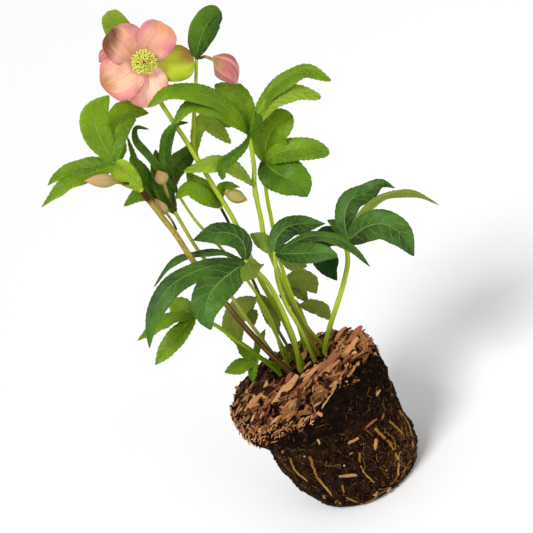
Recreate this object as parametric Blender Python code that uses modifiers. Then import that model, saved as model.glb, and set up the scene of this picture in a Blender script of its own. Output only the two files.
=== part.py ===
"""A hellebore lifted from its pot: root ball, leaf stalks, leaves, stems, bracts, buds and one open bloom.

Positions are in mm. The root ball stands on its flat underside at the origin, +Z up.
Most points are given as (across, up, front): across to the right and up from the crown as they look
from the front with the view falling 22 degrees, and front the distance they stand nearer than the crown.
"""

import bpy
import bmesh
import numpy as np
from math import pi, radians, sin, cos
from mathutils import Matrix, Vector

MM = 0.001
CROWN = np.array((-8.0, 0.0, 110.0))
FALL = radians(22)
ACROSS = np.array((1.0, 0.0, 0.0))
UPWARD = np.array((0.0, sin(FALL), cos(FALL)))
TOWARD = np.array((0.0, -cos(FALL), sin(FALL)))
EYE = CROWN + ACROSS * 13.7 + UPWARD * 96.3 + TOWARD * 1000.0

SOIL_TOP = 113.0
HOLE_DEPTH = 9.0
CLEAR = 0.35
BLADE_THICK = 0.7
KNOB = 2.3
SIDES = 8
BLADE_ROWS = 8

# Root ball: height, leftmost and rightmost X of each ring.
RINGS = (
    (0, -42, 46),
    (2.5, -47, 51),
    (12, -52, 53.5),
    (25, -56.5, 54.5),
    (40, -60, 54.5),
    (58, -62.5, 54),
    (74, -65, 54.5),
    (80, -68.5, 55),
    (88, -73, 56),
    (96, -75.5, 57),
    (105, -75.5, 57),
    (110, -73, 55.5),
)
AROUND = 32


def unit(v):
    return v / np.linalg.norm(v, axis=-1, keepdims=True)


def seen(across, up, front):
    """The point on the sight line through (across, up) that stands front mm before the crown."""
    aim = CROWN + ACROSS * across + UPWARD * up
    return EYE + (aim - EYE) * (-front - EYE[1]) / (aim[1] - EYE[1])


def on_soil(across, up, height=SOIL_TOP):
    """The point of the soil's top that shows at (across, up)."""
    aim = CROWN + ACROSS * across + UPWARD * up
    return EYE + (aim - EYE) * (height - EYE[2]) / (aim[2] - EYE[2])


def through(points, count):
    """Evenly spaced points on a smooth curve through the given ones."""
    p = np.array(points, float)
    p = np.vstack([2 * p[0] - p[1], p, 2 * p[-1] - p[-2]])
    t = np.linspace(0, 1, 12, endpoint=False)[:, None]
    fine = []
    for a, b, c, d in zip(p[:-3], p[1:-2], p[2:-1], p[3:]):
        fine.append(b + 0.5 * t * (c - a + t * (2 * a - 5 * b + 4 * c - d + t * (3 * (b - c) + d - a))))
    fine = np.vstack(fine + [p[-2:-1]])
    run = np.r_[0, np.cumsum(np.linalg.norm(np.diff(fine, axis=0), axis=1))]
    where = np.linspace(0, run[-1], count)
    return np.stack([np.interp(where, run, fine[:, k]) for k in range(3)], axis=1)


def colour(red, green, blue):
    """A screen colour, 0 to 255, as the linear values a material takes."""
    parts = np.array((red, green, blue)) / 255
    return tuple(np.where(parts < 0.04045, parts / 12.92, ((parts + 0.055) / 1.055) ** 2.4)) + (1.0,)


def material(name, tint, roughness=0.5):
    made = bpy.data.materials.new(name)
    made.use_nodes = True
    shader = made.node_tree.nodes["Principled BSDF"]
    shader.inputs["Base Color"].default_value = colour(*tint)
    shader.inputs["Roughness"].default_value = roughness
    shader.inputs["Metallic"].default_value = 0.0
    made.diffuse_color = colour(*tint)
    return made


for old in list(bpy.data.objects):
    bpy.data.objects.remove(old, do_unlink=True)

scene = bpy.context.scene
plant = bpy.data.collections.new("hellebore")
scene.collection.children.link(plant)
pieces_in_work = bpy.data.collections.new("pieces_in_work")
scene.collection.children.link(pieces_in_work)


def settle(obj):
    """Turns an object's modifiers into its own mesh."""
    graph = bpy.context.evaluated_depsgraph_get()
    done = bpy.data.meshes.new_from_object(obj.evaluated_get(graph))
    obj.modifiers.clear()
    obj.data = done


def body(name, points, faces):
    """An object in work from points in mm and faces."""
    mesh = bpy.data.meshes.new(name)
    mesh.from_pydata([tuple(p * MM) for p in points], [], faces)
    made = bpy.data.objects.new(name, mesh)
    pieces_in_work.objects.link(made)
    return made


def tube(points, start, end, count=0, sides=SIDES):
    """A round stem along the points, or count points on a smooth curve through them, closed at both ends."""
    line = through(points, count) if count else np.array(points, float)
    count = len(line)
    along = unit(np.gradient(line, axis=0))
    side = unit(np.cross(along, (0.13, 1.0, 0.07)))
    other = np.cross(along, side)
    radius = np.linspace(start, end, count)[:, None, None]
    turn = np.arange(sides) * 2 * pi / sides
    ring = np.cos(turn)[None, :, None] * side[:, None] + np.sin(turn)[None, :, None] * other[:, None]
    shell = (line[:, None] + radius * ring).reshape(-1, 3)
    faces = []
    for row in range(count - 1):
        for k in range(sides):
            a = row * sides + k
            b = row * sides + (k + 1) % sides
            faces.append((a, b, b + sides, a + sides))
    faces.append(tuple(reversed(range(sides))))
    faces.append(tuple(range((count - 1) * sides, count * sides)))
    return body("tube", shell, faces)


def turned(points, radii, sides=SIDES):
    """A closed body round a curved axis with a radius for each ring, drawn to a point at both ends."""
    count = len(radii) + 2
    line = through(points, count)
    along = unit(np.gradient(line, axis=0))
    side = unit(np.cross(along, (0.2, 1.0, 0.1)))
    other = np.cross(along, side)
    turn = np.arange(sides) * 2 * pi / sides
    ring = np.cos(turn)[None, :, None] * side[:, None] + np.sin(turn)[None, :, None] * other[:, None]
    shell = line[1:-1, None] + np.array(radii)[:, None, None] * ring[1:-1]
    shell = np.vstack([shell.reshape(-1, 3), line[0], line[-1]])
    rows = len(radii)
    faces = []
    for row in range(rows - 1):
        for k in range(sides):
            a = row * sides + k
            b = row * sides + (k + 1) % sides
            faces.append((a, b, b + sides, a + sides))
    for k in range(sides):
        faces.append((rows * sides, (k + 1) % sides, k))
        last = (rows - 1) * sides
        faces.append((rows * sides + 1, last + k, last + (k + 1) % sides))
    return body("turned", shell, faces)


def ball(centre, radius, stretch=(1, 1, 1)):
    mesh = bpy.data.meshes.new("ball")
    shape = bmesh.new()
    bmesh.ops.create_icosphere(shape, subdivisions=1, radius=radius * MM)
    bmesh.ops.scale(shape, vec=stretch, verts=shape.verts)
    bmesh.ops.translate(shape, vec=Vector(centre * MM), verts=shape.verts)
    shape.to_mesh(mesh)
    shape.free()
    made = bpy.data.objects.new("ball", mesh)
    pieces_in_work.objects.link(made)
    return made


def blade(spine, left, right, roll=(20, 20), fold=12, peak=0.5, under=False, full=1.5, foot=1.5, teeth=0.05):
    """A leaf blade along its midrib.

    left and right are the half widths that show on each side, roll turns its left edge nearer,
    fold lifts both edges toward the upper face, peak is where it is widest."""
    centre = through([seen(*p) for p in spine], BLADE_ROWS)
    along = unit(np.gradient(centre, axis=0))
    side = unit(np.cross(unit(EYE - centre), along))
    face = np.cross(along, side)
    turn = np.radians(np.linspace(roll[0], roll[1], BLADE_ROWS))[:, None]
    lift = radians(-fold if under else fold)
    across = np.cos(turn) * side + np.sin(turn) * face
    above = np.cos(turn) * face - np.sin(turn) * side
    t = np.linspace(0, 1, BLADE_ROWS)
    shape = (t / peak) ** (peak * full) * ((1 - t) / (1 - peak)) ** ((1 - peak) * full)
    shape[1:-1] *= 1 + teeth * (-1.0) ** np.arange(BLADE_ROWS - 2)
    least = np.linspace(foot, 0.5, BLADE_ROWS)
    rows = []
    for width, way in ((left, 1), (right, -1)):
        real = width / np.maximum(np.cos(turn[:, 0] + way * lift), 0.5)
        half = np.maximum(real * shape, least)[:, None]
        rows.append(centre + half * (way * cos(lift) * across + sin(lift) * above))
    points = np.stack([rows[0], centre, rows[1]], axis=1).reshape(-1, 3)
    faces = []
    for row in range(BLADE_ROWS - 1):
        for k in (0, 1):
            a = row * 3 + k
            faces.append((a, a + 1, a + 4))
            faces.append((a, a + 4, a + 3))
    made = body("blade", points, faces)
    thick = made.modifiers.new("thickness", "SOLIDIFY")
    thick.thickness = BLADE_THICK * MM
    thick.offset = 0.0
    settle(made)
    return made


def finish(name, obj, tint, smooth=False):
    obj.name = name
    obj.data.name = name
    obj.data.materials.clear()
    obj.data.materials.append(tint)
    for other in list(obj.users_collection):
        other.objects.unlink(obj)
    plant.objects.link(obj)
    return obj


def fused(name, parts, tint, solver="MANIFOLD"):
    """One body from several that overlap."""
    first = parts[0]
    if len(parts) > 1:
        rest = bpy.data.collections.new(name + "_rest")
        scene.collection.children.link(rest)
        for part in parts[1:]:
            pieces_in_work.objects.unlink(part)
            rest.objects.link(part)
        join = first.modifiers.new("join", "BOOLEAN")
        join.operation = "UNION"
        join.solver = solver
        join.operand_type = "COLLECTION"
        join.collection = rest
        settle(first)
        for part in list(rest.objects):
            bpy.data.objects.remove(part, do_unlink=True)
        bpy.data.collections.remove(rest)
    return finish(name, first, tint)


LEAF_GREEN = material("leaf green", (52, 98, 42), 0.4)
BRIGHT_GREEN = material("bract green", (92, 140, 36), 0.45)
OLIVE = material("olive leaf", (104, 120, 52), 0.5)
STALK = material("stalk yellow green", (176, 196, 78), 0.45)
BROWN_STEM = material("brown stem", (112, 84, 50), 0.5)
SOIL = material("soil", (58, 40, 26), 0.95)
PINK = material("sepal pink", (228, 152, 138), 0.5)
GREEN_SEPAL = material("green sepal", (166, 184, 58), 0.5)
POLLEN = material("stamen yellow", (222, 214, 84), 0.5)
BUD_PINK = material("bud pink", (190, 112, 100), 0.5)
BUD_TAN = material("bud tan", (196, 176, 132), 0.5)
BUD_GREEN = material("bud green", (150, 178, 62), 0.5)

# Stems and stalks: where they leave the soil (across, up), the points above it, radii and colour.
STEMS = {
    "flower_stem": ((3, 8), ((5, 30, -9), (6, 50, -9), (4, 90, -9), (6, 120, -9), (7, 145, -8),
                    (5, 172, -6), (3, 200, -4), (1, 225, -3), (-1, 240, -3), (-3, 262, -5), (-3, 284, -11), (0, 296, -6.5)),
                    2.2, 1.7, STALK),
    "left_bract_stem": ((-9, 6), ((-14, 22, -2), (-20, 40, 0), (-27, 65, 3), (-32, 90, 5), (-37, 115, 6),
                        (-40, 135, 8), (-42, 155, 11), (-46, 175, 15), (-51, 201, 19)), 2.6, 2.2, BROWN_STEM),
    "tan_bud_stem": ((-11, 12), ((-15, 30, -20), (-18, 48, -19), (-21, 65, -17), (-24, 88, -14),
                     (-28, 115, -11), (-32, 140, -8), (-34, 171, -6)), 1.6, 1.5, STALK),
    "thin_green_stem": ((-8, 9), ((-7, 30, -9), (-3, 50, -8), (-4, 80, -9), (-11, 118, -10),
                        (-20, 150, -10), (-23, 165, -10), (-25, 185, -10)), 1.3, 1.1, STALK),
    "green_bud_stem": ((0, 13), ((-1, 30, -19), (-2, 45, -19), (-3, 60, -20), (-2, 85, -20), (0, 115, -20),
                       (2, 140, -18), (2, 158, -16)), 1.4, 1.2, BROWN_STEM),
    "right_shoot_stem": ((19, 10), ((18, 22, -13), (18, 45, -12), (19, 70, -12), (21, 95, -12),
                         (23, 118, -12), (28, 135, -12), (35, 160, -11), (43, 177, -11), (51, 202, -11)),
                         2.4, 1.8, STALK),
    "right_shoot_branch": ((25, 14), ((22, 30, -24), (20, 50, -24), (25, 90, -24), (31, 115, -24),
                           (36, 132, -23), (42, 152, -22), (52, 176, -19)), 1.8, 1.6, STALK),
    "right_leaf_stalk": ((25, 8), ((31, 19, -10), (40, 29, -8), (50, 39, -6), (60, 49, -5), (69, 59, -4),
                         (77, 70, -2), (83, 86, 0)), 2.3, 2.0, STALK),
    "centre_leaf_stalk": ((14, 6), ((15, 25, -2), (15, 45, 0), (14, 60, 1), (17, 82, 4), (25, 103, 8)),
                          2.0, 1.9, STALK),
    "left_leaf_stalk": ((0, 5), ((6, 28, 0), (8, 45, 2), (9, 62, 4), (8, 85, 7), (0, 108, 12)), 2.5, 2.1, STALK),
    "low_left_leaf_stalk": ((-17, 9), ((-23, 25, -11), (-30, 40, -9), (-38, 55, -6), (-47, 72, -1), (-60, 88, 5)),
                            2.5, 2.0, STALK),
    "small_left_leaf_stalk": ((-15, 14), ((-19, 22, -24), (-24, 28, -25), (-30, 31, -26)), 1.4, 1.2, STALK),
    "back_left_leaf_stalk": ((-4, 17), ((-5, 35, -33), (-5, 55, -36), (-6, 75, -41)), 1.5, 1.3, STALK),
    "back_right_leaf_stalk": ((11, 16), ((14, 35, -33), (18, 55, -37), (22, 76, -41)), 1.5, 1.3, STALK),
    "low_right_leaf_stalk": ((18, 16), ((21, 34, -32), (23, 52, -35)), 1.4, 1.2, STALK),
}

# Leaves and bracts: a hub and the blades that spring from it.
CLUSTERS = {
    "left_leaf": ((0, 108, 12), LEAF_GREEN, (
        dict(spine=((1, 110, 11), (5, 122, 6), (1, 133, 2), (-12, 141, 0), (-31, 144, 2)),
             left=9.5, right=9, roll=(25, 35), peak=0.5),
        dict(spine=((-2, 110, 11), (-15, 124, 2), (-36, 133, -2.6), (-57, 134.5, -6), (-78, 124, -6)),
             left=3.4, right=3.2, roll=(55, 60), peak=0.55, full=1.2),
        dict(spine=((-3, 109, 13), (-25, 117, 18), (-45, 120, 22), (-66, 118, 26), (-87, 106, 30),
                    (-98, 93, 33), (-105, 80, 34)), left=8.5, right=8, roll=(25, 30), peak=0.5),
        dict(spine=((-3, 107, 14), (-17, 105, 25), (-32, 101, 36), (-44, 93, 45), (-51, 82, 50), (-52, 70, 50)),
             left=14.5, right=14, roll=(15, 10), peak=0.5),
        dict(spine=((1, 106, 14), (0, 102, 22), (0, 97, 30), (1, 92, 36)), left=12, right=13, roll=(0, 0),
             peak=0.5, under=True, full=1.2),
    )),
    "centre_leaf": ((25, 103, 8), LEAF_GREEN, (
        dict(spine=((25, 105, 7), (33, 114, 4), (46, 118, 2), (60, 113, 3), (74, 106, 6)), left=8.5, right=8.5,
             roll=(-30, -30), peak=0.45),
        dict(spine=((28, 103, 10), (45, 104, 16), (62, 101, 22), (76, 91, 26), (86, 75, 27), (91, 57, 25)),
             left=4.2, right=4.2, roll=(-45, -45)),
        dict(spine=((28, 101, 12), (40, 95, 26), (53, 89, 38), (64, 83, 46), (71, 77, 48)), left=8.5,
             right=8, roll=(-20, -15), peak=0.6, full=1.15),
        dict(spine=((30, 102, 4), (35, 94, -2), (38, 87, -7), (44, 81, -8)), left=9, right=9, roll=(-15, -15),
             under=True, peak=0.55, foot=0.9),
        dict(spine=((24, 105, 6), (20, 114, -2), (14, 127, -6)), left=5, right=8, roll=(10, 10), under=True,
             full=1.1),
    )),
    "right_leaf": ((83, 86, 0), LEAF_GREEN, (
        dict(spine=((85, 88, 0), (91, 104, -5), (102, 114, -9), (117, 114, -11), (131, 115, -10),
                    (140, 106, -6)), left=9, right=9, roll=(-30, -25), peak=0.4, full=1.3),
        dict(spine=((86, 87, 3), (101, 98, 7), (125, 104, 10), (142, 100, 12), (155, 92, 12), (166, 77, 10)),
             left=3.4, right=3.2, roll=(-50, -50)),
        dict(spine=((86, 85, 4), (103, 88, 20), (118, 83, 31), (127, 68, 37), (128, 48, 38)), left=12, right=12,
             roll=(-20, -15), peak=0.52),
        dict(spine=((83, 88, -3), (83, 99, -12), (77, 108, -17)), left=5, right=5, roll=(20, 20)),
        dict(spine=((80, 88, -4), (71, 94, -16), (62, 86, -26), (59, 72, -30), (61, 59, -31)), left=11.5,
             right=12, roll=(30, 20), peak=0.5),
    )),
    "low_left_leaf": ((-60, 88, 5), BRIGHT_GREEN, (
        dict(spine=((-62, 89, 5), (-76, 94, 4), (-92, 94, 4), (-111, 90, 6)), left=5, right=5.5, roll=(45, 45)),
        dict(spine=((-61, 90, 3), (-66, 98, -5), (-73, 108, -11)), left=9, right=9, roll=(10, 10)),
        dict(spine=((-61, 86, 7), (-76, 80, 13), (-90, 74, 17), (-107, 65, 18)), left=7.5, right=8, roll=(20, 20),
             peak=0.5),
    )),
    "small_left_leaf": ((-30, 31, -26), BRIGHT_GREEN, (
        dict(spine=((-31, 31, -26), (-43, 32, -25), (-58, 33, -24)), left=6.5, right=6.5, roll=(20, 20)),
        dict(spine=((-30, 30, -25), (-36, 24, -22), (-41, 15, -20)), left=4, right=4, roll=(10, 10)),
        dict(spine=((-30, 33, -27), (-34, 41, -30), (-38, 50, -32)), left=5.5, right=5, roll=(10, 10)),
        dict(spine=((-29, 33, -28), (-21, 42, -34), (-11, 50, -36)), left=3.5, right=3.5),
    )),
    "back_left_leaf": ((-6, 75, -41), OLIVE, (
        dict(spine=((-8, 76, -42), (-22, 76, -44), (-34, 66, -44), (-37, 46, -42)), left=10, right=9.5,
             roll=(25, 20)),
        dict(spine=((-10, 76, -43), (-16, 72, -47), (-18, 57, -49)), left=7, right=6),
        dict(spine=((-4, 77, -44), (-1, 63, -48), (-3, 42, -46)), left=7, right=7, roll=(0, 0), peak=0.6, foot=0.9),
    )),
    "back_right_leaf": ((22, 76, -41), OLIVE, (
        dict(spine=((23, 77, -42), (33, 75, -44), (40, 68, -46), (41, 57, -44)), left=9, right=10,
             roll=(-25, -20), full=1.3),
        dict(spine=((25, 76, -43.5), (29, 66, -46), (31, 54, -46)), left=6, right=6, roll=(-10, -10)),
    )),
    "low_right_leaf": ((23, 52, -35), OLIVE, (
        dict(spine=((25, 53, -35), (32, 50, -36), (39, 43, -36), (42, 31, -34)), left=6.5, right=6.5,
             roll=(-20, -20)),
        dict(spine=((22, 54, -34), (18, 62, -32), (12, 70, -31)), left=4, right=4, roll=(10, 10)),
    )),
    "left_bracts": ((-61, 232, 22), BRIGHT_GREEN, (
        dict(spine=((-51, 200.5, 19), (-53, 209, 20), (-57, 220, 21), (-61, 232, 22)), left=8.5, right=8.5,
             roll=(0, 0), fold=25, peak=0.7, foot=2.4, teeth=0.0, full=1.0),
        dict(spine=((-61, 233, 21), (-62, 250, 16), (-61, 266, 13), (-54, 277, 12), (-39, 284.5, 14)), left=11,
             right=11.5, roll=(10, 20), peak=0.55, full=1.4),
        dict(spine=((-60, 233, 21), (-52, 249, 14), (-41, 260, 4), (-30, 265, -5), (-16, 256, -9)), left=12,
             right=9.5, roll=(-20, -25), peak=0.5, full=1.4),
        dict(spine=((-63, 232, 22), (-80, 238, 18), (-96, 241.5, 16), (-109, 243, 16), (-119, 240.5, 18)), left=6,
             right=8, roll=(30, 30), peak=0.45),
        dict(spine=((-63, 230, 24), (-82, 233, 24), (-100, 235.5, 25), (-117, 232, 25), (-132, 226.5, 25)),
             left=5.5, right=5.5, roll=(40, 40), peak=0.45),
        dict(spine=((-59, 233, 21), (-51, 240, 14), (-45, 252, 10)), left=5, right=5),
    )),
    "tan_bud_bracts": ((-34, 171, -6), LEAF_GREEN, (
        dict(spine=((-35, 172, -7), (-38, 186, -8), (-39, 205, -8)), left=3.2, right=3.2, teeth=0.0),
        dict(spine=((-34, 173, -8), (-32, 192, -17), (-20, 205, -18), (-6, 210, -20), (8, 217, -25)), left=8,
             right=9, roll=(-20, -20), peak=0.65),
        dict(spine=((-35, 172, -7), (-42, 195, -14), (-44, 212, -16), (-46, 231, -16)), left=6.5, right=7,
             peak=0.7, full=1.2),
        dict(spine=((-35, 172, -9), (-46, 205, -24), (-44, 226, -26), (-41, 247, -24)), left=3, right=3, peak=0.6),
        dict(spine=((-34, 172, -8), (-32, 190, -13), (-30, 208, -13), (-25, 226, -12)), left=7, right=7, peak=0.6),
        dict(spine=((-35, 172, -9), (-40, 187, -20), (-52, 199, -24), (-70, 196, -24)), left=6, right=6,
             roll=(20, 30), peak=0.6),
    )),
    "thin_stem_bracts": ((-25, 185, -10), LEAF_GREEN, (
        dict(spine=((-25, 188, -9), (-24, 208, -3), (-14, 228, 1), (0, 237, 4.5), (10, 234, 5)), left=5,
             right=5, roll=(-30, -30), peak=0.55),
        dict(spine=((-25, 187, -11), (-32, 222, -3), (-36, 240, -3), (-31, 250, -3), (-22, 244, -2)), left=3.2,
             right=3.2, roll=(-20, -30), teeth=0.0),
    )),
    "green_bud_bracts": ((2, 158, -16), LEAF_GREEN, (
        dict(spine=((2, 160, -15), (-1, 172, -12), (-7, 184, -12), (-10, 198, -14)), left=8, right=8, peak=0.5),
        dict(spine=((2, 161, -16), (8, 171, -15), (15, 172, -13), (24, 166, -11)), left=4, right=4,
             roll=(-20, -20)),
        dict(spine=((1, 161, -14), (-6, 172, -7), (-15, 184, -4), (-29, 182, -3)), left=6.5, right=7,
             roll=(10, 20), peak=0.55),
    )),
    "fork_leaf": ((3, 208, -8.2), OLIVE, (
        dict(spine=((4, 209, -10), (11, 221, -16), (21, 229, -19), (28, 219, -19), (34, 202, -18)), left=6.5,
             right=6, roll=(-10, -10), peak=0.62, full=1.2),
        dict(spine=((4, 209, -11), (14, 224, -20), (26, 229, -24), (38, 221, -24), (48, 213, -23)), left=7,
             right=6, roll=(-25, -20), peak=0.65, full=1.2),
    )),
    "shoot_leaves": ((52, 176, -19), BRIGHT_GREEN, (
        dict(spine=((53, 178, -19), (62, 190, -16), (74, 198, -10), (91, 199, -6)), left=15, right=15,
             roll=(-15, -20), peak=0.52, full=1.15),
        dict(spine=((54, 176, -16), (67, 177, -5), (83, 172, 3), (95, 165, 6), (104, 157, 7)), left=9.5,
             right=9, roll=(-20, -15), peak=0.55, full=1.15),
        dict(spine=((52, 174, -16), (56, 164, -4), (63, 154, 6), (69, 144, 9), (71, 133, 9)), left=18,
             right=14, roll=(-10, -5), peak=0.45, full=1.4),
    )),
    "shoot_top_leaves": ((51, 202, -11), BRIGHT_GREEN, (
        dict(spine=((51, 204, -10), (47, 222, -2), (38, 242, 6), (22, 256.5, 12), (5, 264, 14), (-14, 261, 14)),
             left=6.5, right=7.5, roll=(20, 35), peak=0.6, full=1.2),
        dict(spine=((50, 204, -9), (43, 222, 0), (34, 236, 8), (18, 246, 10), (-1, 239, 10)), left=6,
             right=6.5, roll=(30, 40), peak=0.65),
        dict(spine=((51, 205, -12), (56, 220, -12), (56, 235, -14), (44, 252, -16)), left=9.5, right=9.5,
             roll=(-10, -10), peak=0.58, full=1.1),
        dict(spine=((53, 203, -10), (62, 212, -5), (82, 226, 0), (105, 230, 3), (120, 228, 4), (133, 211, 4)),
             left=5.5, right=6.5, roll=(-40, -40), peak=0.65, full=1.2),
        dict(spine=((53, 202, -9), (63, 209, -2), (81, 216.5, 6), (102, 215, 10), (119, 202, 12)), left=6.5,
             right=6.5, roll=(-20, -20), peak=0.72, full=1.1, under=True),
        dict(spine=((52, 201, -8), (57, 201, -3), (62, 207, 1), (64, 217, 3)), left=5, right=5),
        dict(spine=((50, 200, -7), (42, 194.5, 2), (30, 191.5, 7), (19, 189, 10), (14, 178, 11)), left=5,
             right=4.5, roll=(-10, 0), peak=0.75, full=1.1),
    )),
    "shoot_low_leaf": ((36, 163, -6.5), BRIGHT_GREEN, (
        dict(spine=((35, 164, -7), (29, 179, -3), (20, 191, 0), (6, 196, 2), (-12, 199, 2)), left=6.5,
             right=6, roll=(30, 35), peak=0.6),
        dict(spine=((34, 165, -8), (31, 178, -11), (29, 192, -14)), left=4, right=3, roll=(10, 10)),
    )),
    "top_bract": ((41, 279, -6), BRIGHT_GREEN, (
        dict(spine=((41.5, 280, -6), (49, 290, -4), (59, 299, -3), (68, 303.5, -3), (77, 303.5, -4)), left=10.5,
             right=10.5, roll=(10, 10), peak=0.6, full=1.1, teeth=0.0),
    )),
    "bloom_bract": ((-4, 288.5, -11.3), BRIGHT_GREEN, (
        dict(spine=((-4.5, 292, -15.5), (-6, 312, -19), (-7, 330, -17), (-8, 348, -14)), left=10.5, right=10.5,
             roll=(0, 0), peak=0.6, full=0.8, teeth=0.0),
    )),
}

# The open bloom: five sepals round the receptacle, each from its base to its rounded end.
BLOOM = (0, 296, -6.5)
SEPALS = (
    dict(spine=((-1, 298, -5), (-5, 312, -1), (-9, 324, 1), (-11, 333, 1)), left=16.5, right=15, peak=0.6,
         full=0.8),
    dict(spine=((2, 297, -5), (10, 305, 0), (19, 312, 3), (28.5, 319.5, 3)), left=12.5, right=16.5, peak=0.62,
         full=0.75),
    dict(spine=((2, 295, -6), (14, 288, -5), (26, 283, -5), (39, 280.5, -6)), left=13, right=14.5, peak=0.6,
         full=1.0),
    dict(spine=((-1, 294, -5), (-5, 283, -2), (-10, 272, 1), (-14, 260, 1)), left=17, right=15, peak=0.5,
         full=0.95),
    dict(spine=((-2, 296, -5), (-15, 296, 0), (-27, 295, 3), (-41, 295, 3)), left=19, right=16.5, peak=0.55,
         full=0.95),
)
STAMENS = 30
STAMEN_REACH = 9.5

# Buds: the axis from its stalk to its tip, ring radii, stalk points and stalk radius, colour.
BUDS = {
    "pink_bud": (((54, 274, -5), (59, 262, -3), (61, 243.5, -2)), (6.3, 9.2, 9.8, 8, 4.5),
                 ((44.2, 277.5, -6), (48, 276.5, -6), (54, 270, -4)), 1.2, BUD_PINK),
    "back_bud": (((-16, 309, -24), (-25, 315, -24), (-34, 313, -22)), (4, 5.5, 5.8, 4),
                 ((-6.8, 289.5, -13.4), (-12, 300, -23), (-19, 310.5, -24)), 1.1, BUD_PINK),
    "tan_bud": (((-31, 196, -1), (-31, 203, 0), (-31, 210, 0)), (3.5, 5.5, 5.5, 3.5),
                ((-33.3, 174.5, -4), (-33, 186, -3), (-31, 199, -0.5)), 1.1, BUD_TAN),
    "green_bud": (((10, 168, -9), (17, 161, -6), (25, 153, -4)), (3.8, 5.2, 5.2, 3.4),
                  ((4.2, 161.5, -13), (8, 167.5, -11), (12, 166, -8.5)), 1.1, BUD_GREEN),
    "left_bud": (((-64, 216, 30), (-77, 223.5, 36), (-90, 230, 39)), (3.2, 5, 4.8, 3),
                 ((-58, 211, 24.5), (-63, 214, 28), (-70, 218.5, 33)), 1.0, BUD_TAN),
    "small_left_bud": (((-40, 172, 8.5), (-42, 180, 9), (-44, 190, 9)), (2.6, 3.6, 3.4, 2),
                       ((-39.6, 158, 9), (-39.5, 166, 8.3), (-41, 176, 8.7)), 0.9, BUD_TAN),
}

for name, (foot, rise, start, end, tint) in STEMS.items():
    ground = on_soil(*foot)
    down = ground - (0, 0, HOLE_DEPTH)
    up_a_little = ground + (0, 0, 3)
    path = through([up_a_little] + [seen(*p) for p in rise], 600)
    left_over = (3.2 if name == "flower_stem" else KNOB) + 0.4
    keep = np.linalg.norm(path - path[-1], axis=1) > left_over
    path = path[keep]
    marks = np.linspace(0, len(path) - 1, 7).astype(int)[1:]
    line = [down, up_a_little] + [path[k] for k in marks]
    stem = tube(line, start, end, sides=8 if start > 1.9 else 6)
    parts = [stem]
    if name == "flower_stem":
        fork = [(3, 205, -4), (8, 220, -4), (20, 242, -5), (31, 261, -6), (41, 279, -6)]
        fork = through([seen(*p) for p in fork], 600)
        fork = fork[np.linalg.norm(fork - fork[-1], axis=1) > KNOB + 0.35]
        parts.append(tube(fork[np.linspace(0, len(fork) - 1, 6).astype(int)], 1.6, 1.3, count=7))
    fused(name, parts, tint)

for name, (hub, tint, blades) in CLUSTERS.items():
    parts = [ball(seen(*hub), KNOB)]
    if name == "left_bracts":
        parts.append(ball(seen(-51, 201, 19), KNOB))
    for one in blades:
        start = hub if one["spine"][0][1] > hub[1] - 20 else one["spine"][0]
        parts.append(blade(**{**one, "spine": (start,) + one["spine"]}) if start == hub else blade(**one))
    fused(name, parts, tint)

parts = [ball(seen(*BLOOM), 3.2)]
for one in SEPALS:
    parts.append(blade(**one, roll=(0, 0), fold=14, foot=3.0, teeth=0.0))
fused("bloom_sepals", parts, PINK)

rng = np.random.default_rng(14)
parts = [ball(seen(0, 296, 0.6), 4.2, (1, 1, 1))]
for k in range(STAMENS):
    ring = 0.45 + 0.55 * ((k * 0.618) % 1.0)
    angle = k * 2.39996
    reach = STAMEN_REACH * ring
    tip = seen(reach * cos(angle), 296 + reach * sin(angle), 6.5 - 3.0 * ring)
    root = seen(2.0 * cos(angle), 296 + 2.0 * sin(angle), 0.6)
    parts.append(tube([root, tip], 0.75, 1.0, sides=4))
fused("bloom_stamens", parts, POLLEN)

for name, (axis, radii, stalk, thin, tint) in BUDS.items():
    parts = [turned([seen(*p) for p in axis], radii), tube([seen(*p) for p in stalk], thin, thin, count=5, sides=6)]
    fused(name, parts, tint)


def ring_at(height):
    """Middle X and half width of the root ball at a height."""
    table = np.array(RINGS, float)
    left = np.interp(height, table[:, 0], table[:, 1])
    right = np.interp(height, table[:, 0], table[:, 2])
    return (left + right) / 2, (right - left) / 2


def bumps(angle, height):
    """Soft hollows and swellings of the packed soil, in mm."""
    return (0.9 * np.sin(3 * angle + height / 9) + 0.7 * np.sin(7 * angle - height / 5 + 1)
            + 0.5 * np.sin(12 * angle + height / 3.1))


def soil_height(share):
    """Height of the soil's top at a share of the way out to the rim."""
    return np.interp(share, (0, 0.45, 0.8, 1), (SOIL_TOP, SOIL_TOP, 112.0, 110.0))


def ball_point(angle, height, proud=0.0):
    middle, half = ring_at(height)
    reach = half + bumps(angle, height) * min(1.0, height / 12) + proud
    return np.array((middle + reach * cos(angle), reach * sin(angle), height))


def on_ball(across, up):
    """The root ball's point that shows at (across, up), with the outward direction there."""
    aim = CROWN + ACROSS * across + UPWARD * up
    way = unit(aim - EYE)
    for step in np.arange(850, 1100, 0.5):
        p = EYE + way * step
        middle, half = ring_at(p[2])
        out = np.hypot(p[0] - middle, p[1])
        if 0 < p[2] < soil_height(min(out / half, 1.0)) and out < half:
            break
    if p[2] > 108:
        return p, np.array((0.0, 0.0, 1.0))
    return p, unit(np.array((p[0] - middle, p[1], 0.0)))


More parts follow.
